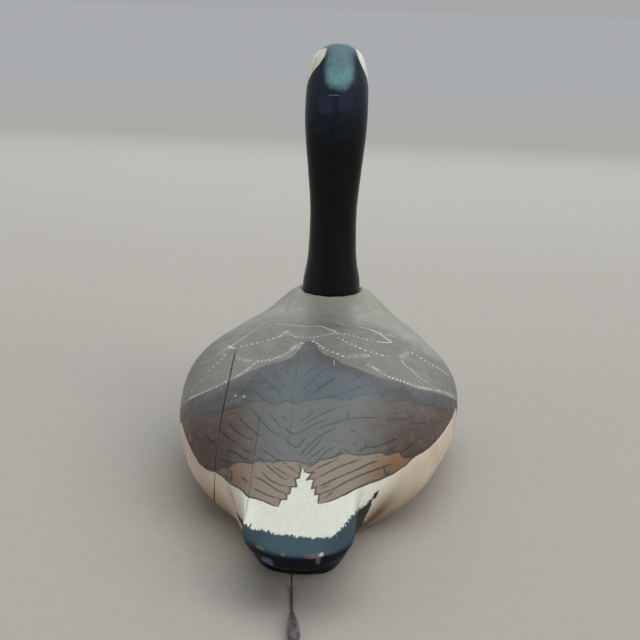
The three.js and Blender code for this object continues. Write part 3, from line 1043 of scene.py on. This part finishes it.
# How a painted line fades at its sides, in half widths, and at its ends and beside it, in millimetres
LINE_SIDES_FADE = (1.35, 0.65)
LINE_ENDS_FADE = (-0.6, 0.0)
LINE_TIP = 0.15
GUARD_FADE = 0.3
DAB_SIDES_FADE = (1.5, 0.5)
DAB_ENDS_FADE = (-0.6, 0.3)
DAB_GUARD = (4.6, 4.2)
DAB_LENGTHS = (0.19, 0.3)
DAB_WIDTHS = (1.1, 0.8)
INK_GUARD = 1.25
INK_TAPER = 7.0


def stroke_mask(paint, name, guard, taper):
    """1 on a painted line and 0 beside it, thinning towards its ends."""
    offset, distance, inside_ends = paint.fields(name)
    wobble = paint.noise(5, detail=1)
    thin = paint.ramp(inside_ends, -0.4, taper, LINE_TIP, 1.0)
    thin = paint.times(thin, paint.ramp(wobble, 0.2, 0.8, 0.75, 1.2))
    across = paint.math("DIVIDE", paint.size(offset), thin)
    line = paint.ramp(across, *LINE_SIDES_FADE)
    near = paint.ramp(distance, guard + GUARD_FADE, guard)
    within = paint.ramp(inside_ends, *LINE_ENDS_FADE)
    return paint.times(line, near, within, paint.field(name + "_strength"))


def dab_mask(paint, name):
    """Rows of separate dabs along painted lines, each a little different."""
    offset, distance, inside_ends = paint.fields(name)
    place = paint.field(name + "_dot")
    cell = paint.math("FLOOR", place)
    chance = paint.node("TexWhiteNoise", [("noise_dimensions", "1D")], W=cell).outputs["Value"]
    along = paint.less(paint.math("FRACT", place), 0.5)
    along = paint.math("DIVIDE", along, paint.ramp(chance, 0.0, 1.0, *DAB_LENGTHS))
    across = paint.math("DIVIDE", offset, paint.ramp(chance, 0.0, 1.0, *DAB_WIDTHS))
    squares = paint.math("ADD", paint.times(along, along), paint.times(across, across))
    dab = paint.ramp(squares, *DAB_SIDES_FADE)
    near = paint.ramp(distance, *DAB_GUARD)
    within = paint.ramp(inside_ends, *DAB_ENDS_FADE)
    amount = paint.ramp(chance, 0.0, 0.6, 0.45, 1.0)
    return paint.times(dab, near, within, amount, paint.field(name + "_strength"))


def zone_mask(paint, name, softness, wobble=0.0, size=3.0, stretch=(1, 1, 1)):
    """1 inside a painted zone and 0 outside, with an edge that wanders by wobble millimetres."""
    edge = paint.field(name)
    if wobble:
        wander = paint.less(paint.noise(size, stretch, detail=3, roughness=0.6), 0.5)
        edge = paint.moved(edge, wander, 2 * wobble)
    return paint.ramp(edge, -softness, softness)


FOOT_HALF_WIDTH = 30
FOOT_HALF_LENGTH = 34


def foot_reach(paint, x, y):
    """1 at the outline of the neck's foot on the seat, and more outside it."""
    across = paint.math("DIVIDE", x, FOOT_HALF_WIDTH)
    along = paint.math("DIVIDE", paint.less(y, SEAT_Y), FOOT_HALF_LENGTH)
    return paint.distance(across, along)


PATCH_POWER = 2.6
PATCH_WANDER = 0.9
PATCH_RIM = (1.6, 0.6)


def oval_patch(paint, across, height, patch, wander):
    """1 in the middle of a patch and 0 outside it, its rim moved about by the noise in wander."""
    middle, level, reach, rise = patch
    sideways = paint.math("DIVIDE", paint.less(across, middle), reach)
    upwards = paint.math("DIVIDE", paint.less(height, level), rise)
    sideways, upwards = (paint.math("POWER", paint.size(part), PATCH_POWER) for part in (sideways, upwards))
    rim = paint.moved(paint.math("ADD", sideways, upwards), wander, PATCH_WANDER)
    return paint.ramp(rim, *PATCH_RIM)


# Where the middles of the white rump and of the wings' colours lie, to the right of the crest
RUMP_MIDDLE = 17
WING_MIDDLE = 10


# Where one look of the body passes into the next, as two places in millimetres: heights, places
# along the body, distances from a middle line or an edge, and for the foot shares of its reach
# Painted shade low on the flanks
LOW_SHADE_HEIGHTS = (54, 12)
# Painted light on the rump's slopes
SLOPE_LIGHT_REACH = (38, 56)
RUMP_REACH = (100, 64)
RUMP_FROM = (-95, -140)
SEAT_FROM = (78, 130)
# Painted reflection in the seat's middle
SEAT_REFLECTION_REACH = (8, 42)
# Painted highlight round the neck's foot
SEAT_HIGHLIGHT_REACH = (1.7, 1.2)
# Teal-grey wing middle, partly painted sheen
WING_TEAL_AND_SHEEN_REACH = (92, 34)
FLIGHT_SIDE_REACH = (50, 86)
WING_EDGE_REACH = (36, 8)
# Painted sheen on the tail's top
TAIL_SHEEN_FROM = (51.5, 55)
TAIL_SIDE_REACH = (20, 38)
REAR_FACE_FROM = (-255, -262)
FOOT_RIM = (1.2, 1.17)
JOINT_GAP = (1.15, 0.85)
JOINT_LIP_INNER = (1.0, 1.5)
JOINT_LIP_OUTER = (3.6, 2.4)
GRAIN_RELIEF = 0.12
BRUSH_RELIEF = 0.35


def body_paint():
    paint = Paint("decoy_body_paint")
    along_body = (1, 9, 1)
    a, y, _ = paint.fields("chart")
    x, _, height = paint.parts(paint.place)
    from_middle = paint.size(a)
    grain = paint.noise(1.1, detail=3, roughness=0.65)
    blotch = paint.noise(38, detail=3)
    patch = paint.noise(11, detail=3, roughness=0.6)
    streak = paint.noise(2.6, along_body, detail=3, roughness=0.6)

    cream = paint.mix(paint.ramp(blotch, 0.3, 0.7), CREAM, CREAM_DEEP)
    # Painted shade: the cream darkens low on the flanks, towards the floor
    cream = paint.mix(paint.ramp(paint.moved(height, patch, 16), *LOW_SHADE_HEIGHTS), cream, CREAM_LOW_SHADE)
    # Painted shade tinted brown low on the flanks beside the tail, with some staining
    shade_and_stain = paint.times(paint.field("shade_and_stain"), paint.ramp(patch, 0.2, 0.8, 0.8, 1.1), clamp=True)
    cream = paint.mix(shade_and_stain, cream, SHADE_AND_STAIN_BROWN)
    white = paint.mix(paint.ramp(streak, 0.35, 0.75), RUMP_WHITE, RUMP_SHADE)
    from_crest = paint.size(paint.less(a, WING_MIDDLE))
    # Painted light: the white is brighter on the steep slopes of the rump, away from the crest
    white = paint.mix(paint.ramp(from_crest, *SLOPE_LIGHT_REACH), white, RUMP_SLOPE_LIGHT)
    from_rump = paint.size(paint.less(a, RUMP_MIDDLE))
    rump = paint.times(paint.ramp(from_rump, *RUMP_REACH), paint.ramp(y, *RUMP_FROM))
    base = paint.mix(rump, cream, white)

    grey = paint.mix(paint.ramp(patch, 0.3, 0.75), MANTLE_GREY, MANTLE_DARK)
    on_seat = paint.ramp(paint.moved(y, blotch, 30), *SEAT_FROM)
    # Painted reflection: the seat darkens towards its middle, under the black neck
    seat = paint.mix(paint.ramp(paint.size(x), *SEAT_REFLECTION_REACH), SEAT_MIDDLE_REFLECTION, SEAT_SIDE)
    foot = foot_reach(paint, x, y)
    # Painted highlight: a pale band on the seat round the neck's foot
    seat = paint.mix(paint.ramp(foot, *SEAT_HIGHLIGHT_REACH, 0, 0.6), seat, SEAT_RING_HIGHLIGHT)
    grey = paint.mix(on_seat, grey, seat)
    # Painted sheen: paler grey on the right of the back
    grey = paint.mix(paint.times(paint.field("sheen"), 0.9, clamp=True), grey, SHEEN_GREY)
    base = paint.mix(zone_mask(paint, "mantle", 6, 10, 9), base, grey)

    # Towards the crest the wings turn teal-grey: partly the paint's own colour and partly painted sheen
    middle = paint.ramp(paint.moved(from_crest, patch, 26), *WING_TEAL_AND_SHEEN_REACH)
    flight_side = paint.ramp(paint.moved(from_crest, patch, 16), *FLIGHT_SIDE_REACH)
    wing = paint.mix(flight_side, FLIGHT, FLIGHT_SIDE)
    covert = paint.mix(middle, COVERT_SIDE, COVERT_TEAL_AND_SHEEN)
    wing = paint.mix(zone_mask(paint, "covert", 0.5), wing, covert)
    slate = paint.mix(middle, SLATE_SIDE, SLATE_TEAL_AND_SHEEN)
    by_edge = paint.ramp(paint.moved(paint.field("wing"), patch, 14), *WING_EDGE_REACH)
    slate = paint.mix(by_edge, slate, SLATE_EDGE_DARK)
    wing = paint.mix(zone_mask(paint, "slate", 0.6), wing, slate)
    brushwork = paint.noise(5, (1.6, 1, 1), detail=4, roughness=0.65)
    wing = paint.mix(paint.ramp(brushwork, 0.5, 0.72, 0, 0.35), wing, WARM_TINT)
    # Patchy teal in the coverts' middle, partly painted sheen
    teal = paint.times(paint.ramp(brushwork, 0.5, 0.3, 0, 0.4), zone_mask(paint, "covert", 2))
    wing = paint.mix(paint.times(teal, middle), wing, TEAL_TINT)
    on_wing = zone_mask(paint, "wing", 0.5)
    base = paint.mix(on_wing, base, wing)

    on_tail = zone_mask(paint, "tail", 1.0, 6.0, 1.9, (1, 7, 1))
    # Painted sheen: the black tail is blue-grey on top, greyer towards its sides
    tail_sheen = paint.ramp(paint.moved(height, streak, 2), *TAIL_SHEEN_FROM)
    tail_side = paint.ramp(paint.moved(from_middle, patch, 12), *TAIL_SIDE_REACH)
    tail = paint.mix(tail_sheen, TAIL_BLACK, paint.mix(tail_side, TAIL_TOP_SHEEN, TAIL_TOP_SIDE_SHEEN))
    base = paint.mix(on_tail, base, tail)

    # Painted shade on the grey back, darkest under the neck's seat
    painted_shade = paint.times(paint.field("painted_shade"), paint.ramp(patch, 0.2, 0.8, 0.6, 1.0), clamp=True)
    base = paint.mix(paint.times(painted_shade, 0.6), base, PAINTED_SHADE_GREY)

    # The ink turns teal in the wings' middle, partly painted sheen
    ink_colour = paint.mix(middle, INK_SIDE, INK_TEAL_AND_SHEEN)
    in_flight = paint.less(1.0, zone_mask(paint, "covert", 1.5))
    ink_colour = paint.mix(in_flight, ink_colour, INK_FLIGHT)
    base = paint.mix(stroke_mask(paint, "ink", INK_GUARD, INK_TAPER), base, ink_colour)
    base = paint.mix(dab_mask(paint, "pale"), base, PALE_DAB)

    rear = paint.ramp(y, *REAR_FACE_FROM)
    crumbs = paint.noise(1.3, detail=4, roughness=0.7)
    # Painted glint on the black rear face of the tail
    glint = oval_patch(paint, x, height, GLINT_PATCH, patch)
    base = paint.mix(paint.times(glint, rear, 0.75), base, TAIL_GLINT)
    bare = paint.ramp(crumbs, 0.35, 0.65, 0.1, 0.8)
    for place in BARE_PATCHES:
        worn = paint.times(oval_patch(paint, x, height, place, crumbs), bare, rear)
        base = paint.mix(worn, base, BARE_WOOD)
    chipped = paint.times(oval_patch(paint, x, height, CHIPPED_PATCH, crumbs), rear)
    base = paint.mix(paint.times(chipped, 0.6), base, RUMP_SHADE)

    offset, opening, depth = paint.fields("joint")
    gap = paint.times(paint.ramp(paint.size(offset), *JOINT_GAP), opening)
    lip = paint.times(paint.ramp(offset, *JOINT_LIP_INNER), paint.ramp(offset, *JOINT_LIP_OUTER))
    lip = paint.times(lip, opening, 0.15)
    base = paint.mix(lip, base, CRACK_EDGE)
    base = paint.mix(paint.times(gap, paint.ramp(depth, 0.1, 1.0, 0.3, 1.0)), base, CRACK_BLACK)

    ragged = paint.moved(foot, paint.noise(3.5, detail=4), 0.22)
    base = paint.mix(paint.ramp(ragged, *FOOT_RIM), base, FOOT_BLACK)

    shade = paint.ramp(grain, 0.25, 0.8, 0.87, 1.11)
    shade = paint.times(shade, paint.ramp(brushwork, 0.25, 0.75, 0.97, 1.03))
    base = paint.node("HueSaturation", Color=base, Value=shade).outputs["Color"]

    roughness = paint.ramp(paint.noise(14, detail=3), 0.25, 0.75, 0.36, 0.54)
    paint.set("Specular IOR Level", paint.ramp(on_tail, 0.0, 1.0, 0.35, 0.15))
    fine = paint.bump(grain, GRAIN_RELIEF, 0.5)
    brushed = paint.bump(streak, BRUSH_RELIEF, 0.5, fine)
    return paint.finish(base, roughness, brushed)


# Head and neck: sections from the foot of the neck to the tip of the bill, each a point on the back
# and crown and one opposite on the throat, forwards of the neck's axis and above the seat, and the
# half width.
HEAD_SECTIONS = np.array([
    [-34, 0, 34, 0, 30],
    [-32, 12, 31, 12, 29],
    [-28, 40, 25, 36, 25],
    [-25, 85, 21, 80, 24],
    [-25, 125, 20, 118, 27],
    [-27, 160, 20, 144, 30],
    [-30, 190, 23, 159, 31.5],
    [-28, 218, 28, 171, 31.5],
    [-17, 238, 33, 179, 31],
    [0, 250, 38, 184, 29.5],
    [18, 250, 43, 187, 27.5],
    [33, 242, 48, 189, 24],
    [45, 230, 54, 190, 19.5],
    [59, 219, 63, 191, 16],
    [74, 211, 74, 192, 14.5],
    [87, 204, 86, 193, 12.5],
    [94, 199, 93.5, 195, 6],
], float)
HEAD_ROUNDNESS = 2.2
HEAD_RINGS = 14
HEAD_SIDES = 112

# Pale cheek patch in side view, forwards of the neck's axis and above the seat. It narrows upwards
# behind the eye and meets its fellow under the throat.
CHEEK_PATCH = [
    (2, 246), (-6, 240), (-10, 232), (-9, 225), (-5, 217), (0, 207), (6, 196), (12, 184), (20, 172),
    (26, 160), (34, 166), (42, 178), (43, 188), (36, 197), (27, 204), (22, 214), (19, 226), (14, 239),
    (8, 245),
]
CHEEK_STEP = 2


def head_rings():
    """Points of the head, ring by ring, forwards of the neck's axis and above its seat."""
    count = (len(HEAD_SECTIONS) - 1) * HEAD_RINGS + 1
    numbered = np.column_stack([np.arange(len(HEAD_SECTIONS)), HEAD_SECTIONS])
    rows = rows_at(numbered, np.linspace(0, len(HEAD_SECTIONS) - 1, count))[:, 1:]
    back, throat, half_width = rows[:, None, 0:2], rows[:, None, 2:4], rows[:, 4, None]
    angle = (np.arange(HEAD_SIDES) / HEAD_SIDES * 2 * math.pi)[None, :]
    power = 2 / HEAD_ROUNDNESS
    across = half_width * np.sign(np.sin(angle)) * np.abs(np.sin(angle)) ** power
    along = (np.sign(np.cos(angle)) * np.abs(np.cos(angle)) ** power)[:, :, None]
    plane = (back + throat) / 2 + (back - throat) / 2 * along
    return np.concatenate([across[:, :, None], plane], axis=2)


# The left patch reaches further round the back of the head than the right one.
LEFT_CHEEK_BACK = 5.5
RIGHT_CHEEK_BACK = -2.5
CHEEK_BLEND = 10


def cheek_shift(points):
    back = np.interp(points[:, 0], [-CHEEK_BLEND, CHEEK_BLEND], [LEFT_CHEEK_BACK, RIGHT_CHEEK_BACK])
    return np.stack([back, np.zeros(len(points))], 1)


def make_head():
    rings = head_rings()
    ends = [rings[0].mean(0), rings[-1].mean(0)]
    points = np.vstack([rings.reshape(-1, 3), ends])
    faces = loft_faces(len(rings), HEAD_SIDES)
    side_view = points[:, 1:]
    cheek = zone(side_view + cheek_shift(points), through(CHEEK_PATCH, CHEEK_STEP))
    seated = points + (0, SEAT_Y, SEAT_HEIGHT)
    piece = add_mesh("painted_head", seated, faces)
    attribute(piece, "cheek", cheek)
    attribute(piece, "head_place", points)
    finish_piece(piece, ["head_and_neck"], head_paint())


HEAD_BLACK = colour(4, 6, 12)
# Dark blue of the upper head, partly the paint's own colour and partly painted sheen
HEAD_NAVY_AND_SHEEN = colour(29, 40, 54)
# Purplish colour of the painted sheen on the head
HEAD_PURPLE_SHEEN = colour(62, 54, 92)
# Grey on the top of the crown: painted reflection
CROWN_REFLECTION = colour(108, 132, 142)
# Teal of the painted highlight on the back of the head
HIGHLIGHT_ABOVE = colour(94, 128, 134)
HIGHLIGHT_BELOW = colour(122, 170, 174)
SCRATCH = colour(120, 110, 108)
CHEEK_WHITE = colour(226, 229, 214)
CHEEK_SHADE = colour(206, 202, 180)

# Patches on the back of the head, a painted highlight, painted purplish sheen and a scratch: place across and
# above the seat, reach across and up
# Painted highlight high on the back of the head
HIGHLIGHT_PATCH = (2.5, 228, 16, 23)
# Painted purplish sheen low on the back of the head
PURPLE_SHEEN_PATCHES = [(-9, 193, 9, 11), (10, 196, 9, 12)]
SCRATCH_PATCH = (-1.5, 202.2, 7, 0.6)


def head_paint():
    paint = Paint("decoy_head_paint")
    across, forwards, height = paint.fields("head_place")
    patch = paint.noise(9, detail=4, roughness=0.6)
    grain = paint.noise(1.2, detail=3, roughness=0.6)
    streak = paint.noise(2.4, (1, 1, 8), detail=3)
    behind = paint.ramp(forwards, 12, 0)
    # Upwards the black turns dark blue, partly painted sheen
    navy_and_sheen = paint.ramp(paint.moved(height, patch, 60), 175, 235)
    black = paint.mix(navy_and_sheen, HEAD_BLACK, HEAD_NAVY_AND_SHEEN)
    # Painted purplish sheen on the back of the head
    for place in PURPLE_SHEEN_PATCHES:
        purple_sheen = paint.times(oval_patch(paint, across, height, place, patch), behind)
        purple_sheen = paint.times(purple_sheen, paint.ramp(streak, 0.25, 0.75, 0.2, 0.65))
        black = paint.mix(purple_sheen, black, HEAD_PURPLE_SHEEN)
    # Painted reflection: grey along the top of the crown
    crown = paint.ramp(paint.moved(height, patch, 6), 240, 251)
    crown = paint.times(crown, paint.ramp(forwards, 30, 12, 0, 0.8))
    black = paint.mix(crown, black, CROWN_REFLECTION)
    # Painted highlight: a teal patch high on the back of the head
    highlight_colour = paint.mix(paint.ramp(height, 236, 216), HIGHLIGHT_ABOVE, HIGHLIGHT_BELOW)
    highlight = paint.times(oval_patch(paint, across, height, HIGHLIGHT_PATCH, patch), behind)
    highlight = paint.times(highlight, paint.ramp(streak, 0.2, 0.7, 0.7, 1.0))
    black = paint.mix(highlight, black, highlight_colour)
    scratch = paint.times(oval_patch(paint, across, height, SCRATCH_PATCH, patch), behind)
    black = paint.mix(scratch, black, SCRATCH)
    white = paint.mix(paint.ramp(patch, 0.3, 0.7), CHEEK_WHITE, CHEEK_SHADE)
    base = paint.mix(zone_mask(paint, "cheek", 0.5, 0.8, 3), black, white)
    shade = paint.ramp(grain, 0.25, 0.8, 0.88, 1.1)
    base = paint.node("HueSaturation", Color=base, Value=shade).outputs["Color"]
    roughness = paint.ramp(paint.noise(9, detail=3), 0.25, 0.75, 0.3, 0.42)
    paint.set("Specular IOR Level", 0.2)
    normal = paint.bump(streak, 0.25, 0.4, paint.bump(grain, 0.08, 0.4))
    return paint.finish(base, roughness, normal)


# Eyes
EYE_RADIUS = 5.5
EYE_ROWS = 24
EYE_SIDES = 40
PUPIL_EDGE = (2.9, 3.2)
EYE_FORWARD = 31
EYE_HEIGHT = 223
IRIS_BROWN = colour(74, 40, 18)
PUPIL_BLACK = colour(4, 3, 3)


def glass_eye_paint():
    paint = Paint("dark_glass_eye")
    _, y, z = paint.parts(paint.place)
    forwards = paint.less(y, SEAT_Y + EYE_FORWARD)
    upwards = paint.less(z, SEAT_HEIGHT + EYE_HEIGHT)
    speckle = paint.noise(0.6, detail=2)
    iris = paint.mix(paint.ramp(speckle, 0.3, 0.7), IRIS_BROWN, PUPIL_BLACK)
    base = paint.mix(paint.ramp(paint.distance(forwards, upwards), *PUPIL_EDGE), PUPIL_BLACK, iris)
    paint.set("Coat Weight", 1.0)
    paint.set("Coat Roughness", 0.02)
    return paint.finish(base, 0.12)


def make_eye(side):
    name = "right_eye" if side > 0 else "left_eye"
    low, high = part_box(name)
    middle = (low + high) / 2 / MM
    turn = np.arange(EYE_SIDES) / EYE_SIDES * 2 * math.pi
    rings = []
    for i in range(1, EYE_ROWS):
        tilt = math.pi * i / EYE_ROWS
        ring = np.stack([np.full(EYE_SIDES, math.cos(tilt)), -math.sin(tilt) * np.cos(turn),
                         math.sin(tilt) * np.sin(turn)], 1)
        rings.append(ring * EYE_RADIUS + middle)
    ends = [middle + Vector((EYE_RADIUS, 0, 0)), middle - Vector((EYE_RADIUS, 0, 0))]
    points = np.vstack([*rings, *(np.array(e)[None] for e in ends)])
    piece = add_mesh(name + "_glass", points, loft_faces(len(rings), EYE_SIDES))
    return piece, name


def make_eyes():
    glass = glass_eye_paint()
    for side in (-1, 1):
        piece, name = make_eye(side)
        finish_piece(piece, [name], glass)


# Anchor line, its staple and its weight

LINE_STRANDS = 3
STRAND_TWIST = 4.5
LINE_SIDES = 24
LINE_STEP = 0.35
STRAND_GROOVE = 0.2
TWINE_DARK = colour(44, 30, 20)
TWINE_PALE = colour(88, 64, 44)


def twisted_line():
    """Points of the twisted line along its route, ring by ring, and the route itself."""
    route = through(LINE_ROUTE, LINE_STEP)
    ways = np.gradient(route, axis=0)
    ways /= np.linalg.norm(ways, axis=1)[:, None]
    along = np.concatenate([[0], np.cumsum(np.linalg.norm(np.diff(route, axis=0), axis=1))])
    level = np.cross(ways, (0, 0, 1.0))
    level /= np.linalg.norm(level, axis=1)[:, None]
    above = np.cross(level, ways)
    turn = np.arange(LINE_SIDES) / LINE_SIDES * 2 * math.pi
    twist = along[:, None] * 2 * math.pi / STRAND_TWIST / LINE_STRANDS
    lobes = np.abs(np.cos(LINE_STRANDS / 2 * (turn[None, :] - twist)))
    radius = LINE_DIAMETER / 2 * (1 - STRAND_GROOVE + STRAND_GROOVE * lobes)
    across = level[:, None, :] * np.cos(turn)[None, :, None] + above[:, None, :] * np.sin(turn)[None, :, None]
    return route[:, None, :] + across * radius[:, :, None], route, along[-1]


def make_line():
    rings, route, length = twisted_line()
    points = np.vstack([rings.reshape(-1, 3), route[:1], route[-1:]])
    piece = add_mesh("twine", points, loft_faces(len(rings), LINE_SIDES))
    finish_piece(piece, ["cord"], twine_paint())
    return piece, route, length


def twine_paint():
    paint = Paint("tarred_twine")
    fibre = paint.noise(0.35, detail=3)
    base = paint.mix(paint.ramp(fibre, 0.3, 0.7), TWINE_DARK, TWINE_PALE)
    return paint.finish(base, 0.8, paint.bump(fibre, 0.08, 0.6))


WEIGHT_PROFILE = np.array([
    [0, 0],
    [1.3, 0],
    [1.6, 3],
    [2.4, 9],
    [3.4, 17],
    [4.2, 25],
    [4.6, 32],
    [4.6, 37],
    [4.1, 41],
    [3.0, 44],
    [1.7, 45.6],
    [0, 46],
])
WEIGHT_SIDES = 48
WEIGHT_STEP = 0.8
WEIGHT_GAP = 0.3
HEADING_POINTS = 3
LEAD_PALE = colour(146, 130, 134)
LEAD_DARK = colour(92, 82, 87)
WIRE_GREY = colour(58, 54, 50)
WIRE_RUST = colour(56, 36, 24)


def make_weight():
    """The lead teardrop on its side, its tip at the line's end and its underside on the ground."""
    outline = through(WEIGHT_PROFILE[1:-1], WEIGHT_STEP)
    turn = np.arange(WEIGHT_SIDES) / WEIGHT_SIDES * 2 * math.pi
    before, end = LINE_ROUTE[-1 - HEADING_POINTS], LINE_ROUTE[-1]
    heading = math.atan2(end[0] - before[0], before[1] - end[1])
    widest = WEIGHT_PROFILE[:, 0].argmax()
    tilt = math.asin((WEIGHT_PROFILE[widest, 0] - end[2]) / WEIGHT_PROFILE[widest, 1])
    rings = [np.stack([-r * np.cos(turn), np.full(len(turn), -at), r * np.sin(turn)], 1) for r, at in outline]
    tips = [(0, -WEIGHT_PROFILE[0, 1], 0), (0, -WEIGHT_PROFILE[-1, 1], 0)]
    points = np.vstack([*rings, tips])
    turned = Matrix.Rotation(heading, 3, "Z") @ Matrix.Rotation(-tilt, 3, "X")
    points = points @ np.array(turned).T
    points += (end[0] + WEIGHT_GAP * math.sin(heading), end[1] - WEIGHT_GAP * math.cos(heading), 0)
    points[:, 2] -= points[:, 2].min()
    piece = add_mesh("lead_weight", points, loft_faces(len(rings), WEIGHT_SIDES))
    finish_piece(piece, ["anchor_weight"], lead_paint())
    return piece


def lead_paint():
    paint = Paint("oxidised_lead")
    patch = paint.noise(5, detail=4, roughness=0.6)
    pit = paint.noise(0.7, detail=2)
    base = paint.mix(paint.ramp(patch, 0.3, 0.7), LEAD_PALE, LEAD_DARK)
    paint.set("Metallic", 0.55)
    roughness = paint.ramp(patch, 0.3, 0.7, 0.38, 0.6)
    return paint.finish(base, roughness, paint.bump(pit, 0.12, 0.5, paint.bump(patch, 0.4, 0.5)))


def rusty_wire():
    paint = Paint("tarnished_wire")
    rust = paint.noise(1.2, detail=4, roughness=0.7)
    base = paint.mix(paint.ramp(rust, 0.4, 0.65), WIRE_GREY, WIRE_RUST)
    paint.set("Metallic", 0.6)
    return paint.finish(base, paint.ramp(rust, 0.3, 0.7, 0.35, 0.75), paint.bump(rust, 0.1, 0.5))


# Floor and light. The floor's reach and the lights' places are in metres.
FLOOR_REACH = 60
FLOOR_FAR = (700, 6000)
FLOOR_NEAR_PALE = colour(178, 173, 165)
FLOOR_NEAR_DARK = colour(175, 170, 161)
FLOOR_FAR_GREY = colour(172, 173, 175)
WORLD_TINT = (0.96, 0.98, 1.0, 1)
WORLD_STRENGTH = 0.4
WALL_LIGHT = {"place": (0.1, 2.4, 1.1), "target": (0, 0, 0.25), "width": 3.2, "length": 1.2, "power": 12,
              "tint": (0.85, 0.97, 1.0)}

# Soft lights from far away: name, the side they stand on, strength, spread in degrees, tint
SUNS = [
    ("overhead", (0.15, -0.1, 1), 1.25, 60, (0.95, 0.98, 1.0)),
    ("right_window", (1.4, -0.6, 1.1), 0.8, 40, (1.0, 0.98, 0.95)),
    ("left_fill", (-1.0, -0.5, 0.25), 0.22, 60, (1.0, 0.96, 0.9)),
]


def add_floor():
    corners = [(-1, -1, 0), (1, -1, 0), (1, 1, 0), (-1, 1, 0)]
    points = np.array(corners) * FLOOR_REACH / MM
    floor = add_mesh("floor", points, [(0, 1, 2, 3)], False)
    paint = Paint("pale_floor")
    x, y, _ = paint.parts(paint.place)
    cloud = paint.noise(9, detail=3)
    near = paint.mix(paint.ramp(cloud, 0.3, 0.7), FLOOR_NEAR_PALE, FLOOR_NEAR_DARK)
    base = paint.mix(paint.ramp(paint.distance(x, y), *FLOOR_FAR), near, FLOOR_FAR_GREY)
    floor.data.materials.append(paint.finish(base, 0.85))


def add_light(name, place, target, width, length, power, tint):
    data = bpy.data.lights.new(name, "AREA")
    data.shape = "RECTANGLE"
    data.size, data.size_y = width, length
    data.energy = power
    data.color = tint
    light = bpy.data.objects.new(name, data)
    way = Vector(target) - Vector(place)
    light.matrix_world = Matrix.Translation(place) @ way.to_track_quat("-Z", "Y").to_matrix().to_4x4()
    bpy.context.scene.collection.objects.link(light)


def add_sun(name, way, strength, spread, tint):
    """A soft light that falls evenly, from the side that way points to."""
    data = bpy.data.lights.new(name, "SUN")
    data.energy = strength
    data.angle = math.radians(spread)
    data.color = tint
    light = bpy.data.objects.new(name, data)
    light.rotation_euler = Vector(way).to_track_quat("Z", "Y").to_euler()
    bpy.context.scene.collection.objects.link(light)


def add_world():
    world = bpy.data.worlds.new("room")
    world.use_nodes = True
    background = world.node_tree.nodes["Background"]
    background.inputs["Color"].default_value = WORLD_TINT
    background.inputs["Strength"].default_value = WORLD_STRENGTH
    bpy.context.scene.world = world


def add_lights():
    add_light("wall_ahead", **WALL_LIGHT)
    for sun in SUNS:
        add_sun(*sun)


bpy.context.scene.view_settings.view_transform = "Standard"
add_camera()
twine, twine_route, twine_length = make_line()
weight = make_weight()
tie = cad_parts["line_tie"]
tie.data.materials.clear()
tie.data.materials.append(rusty_wire())
make_body()
make_head()
make_eyes()
add_floor()
add_world()
add_lights()

bpy.context.view_layer.update()
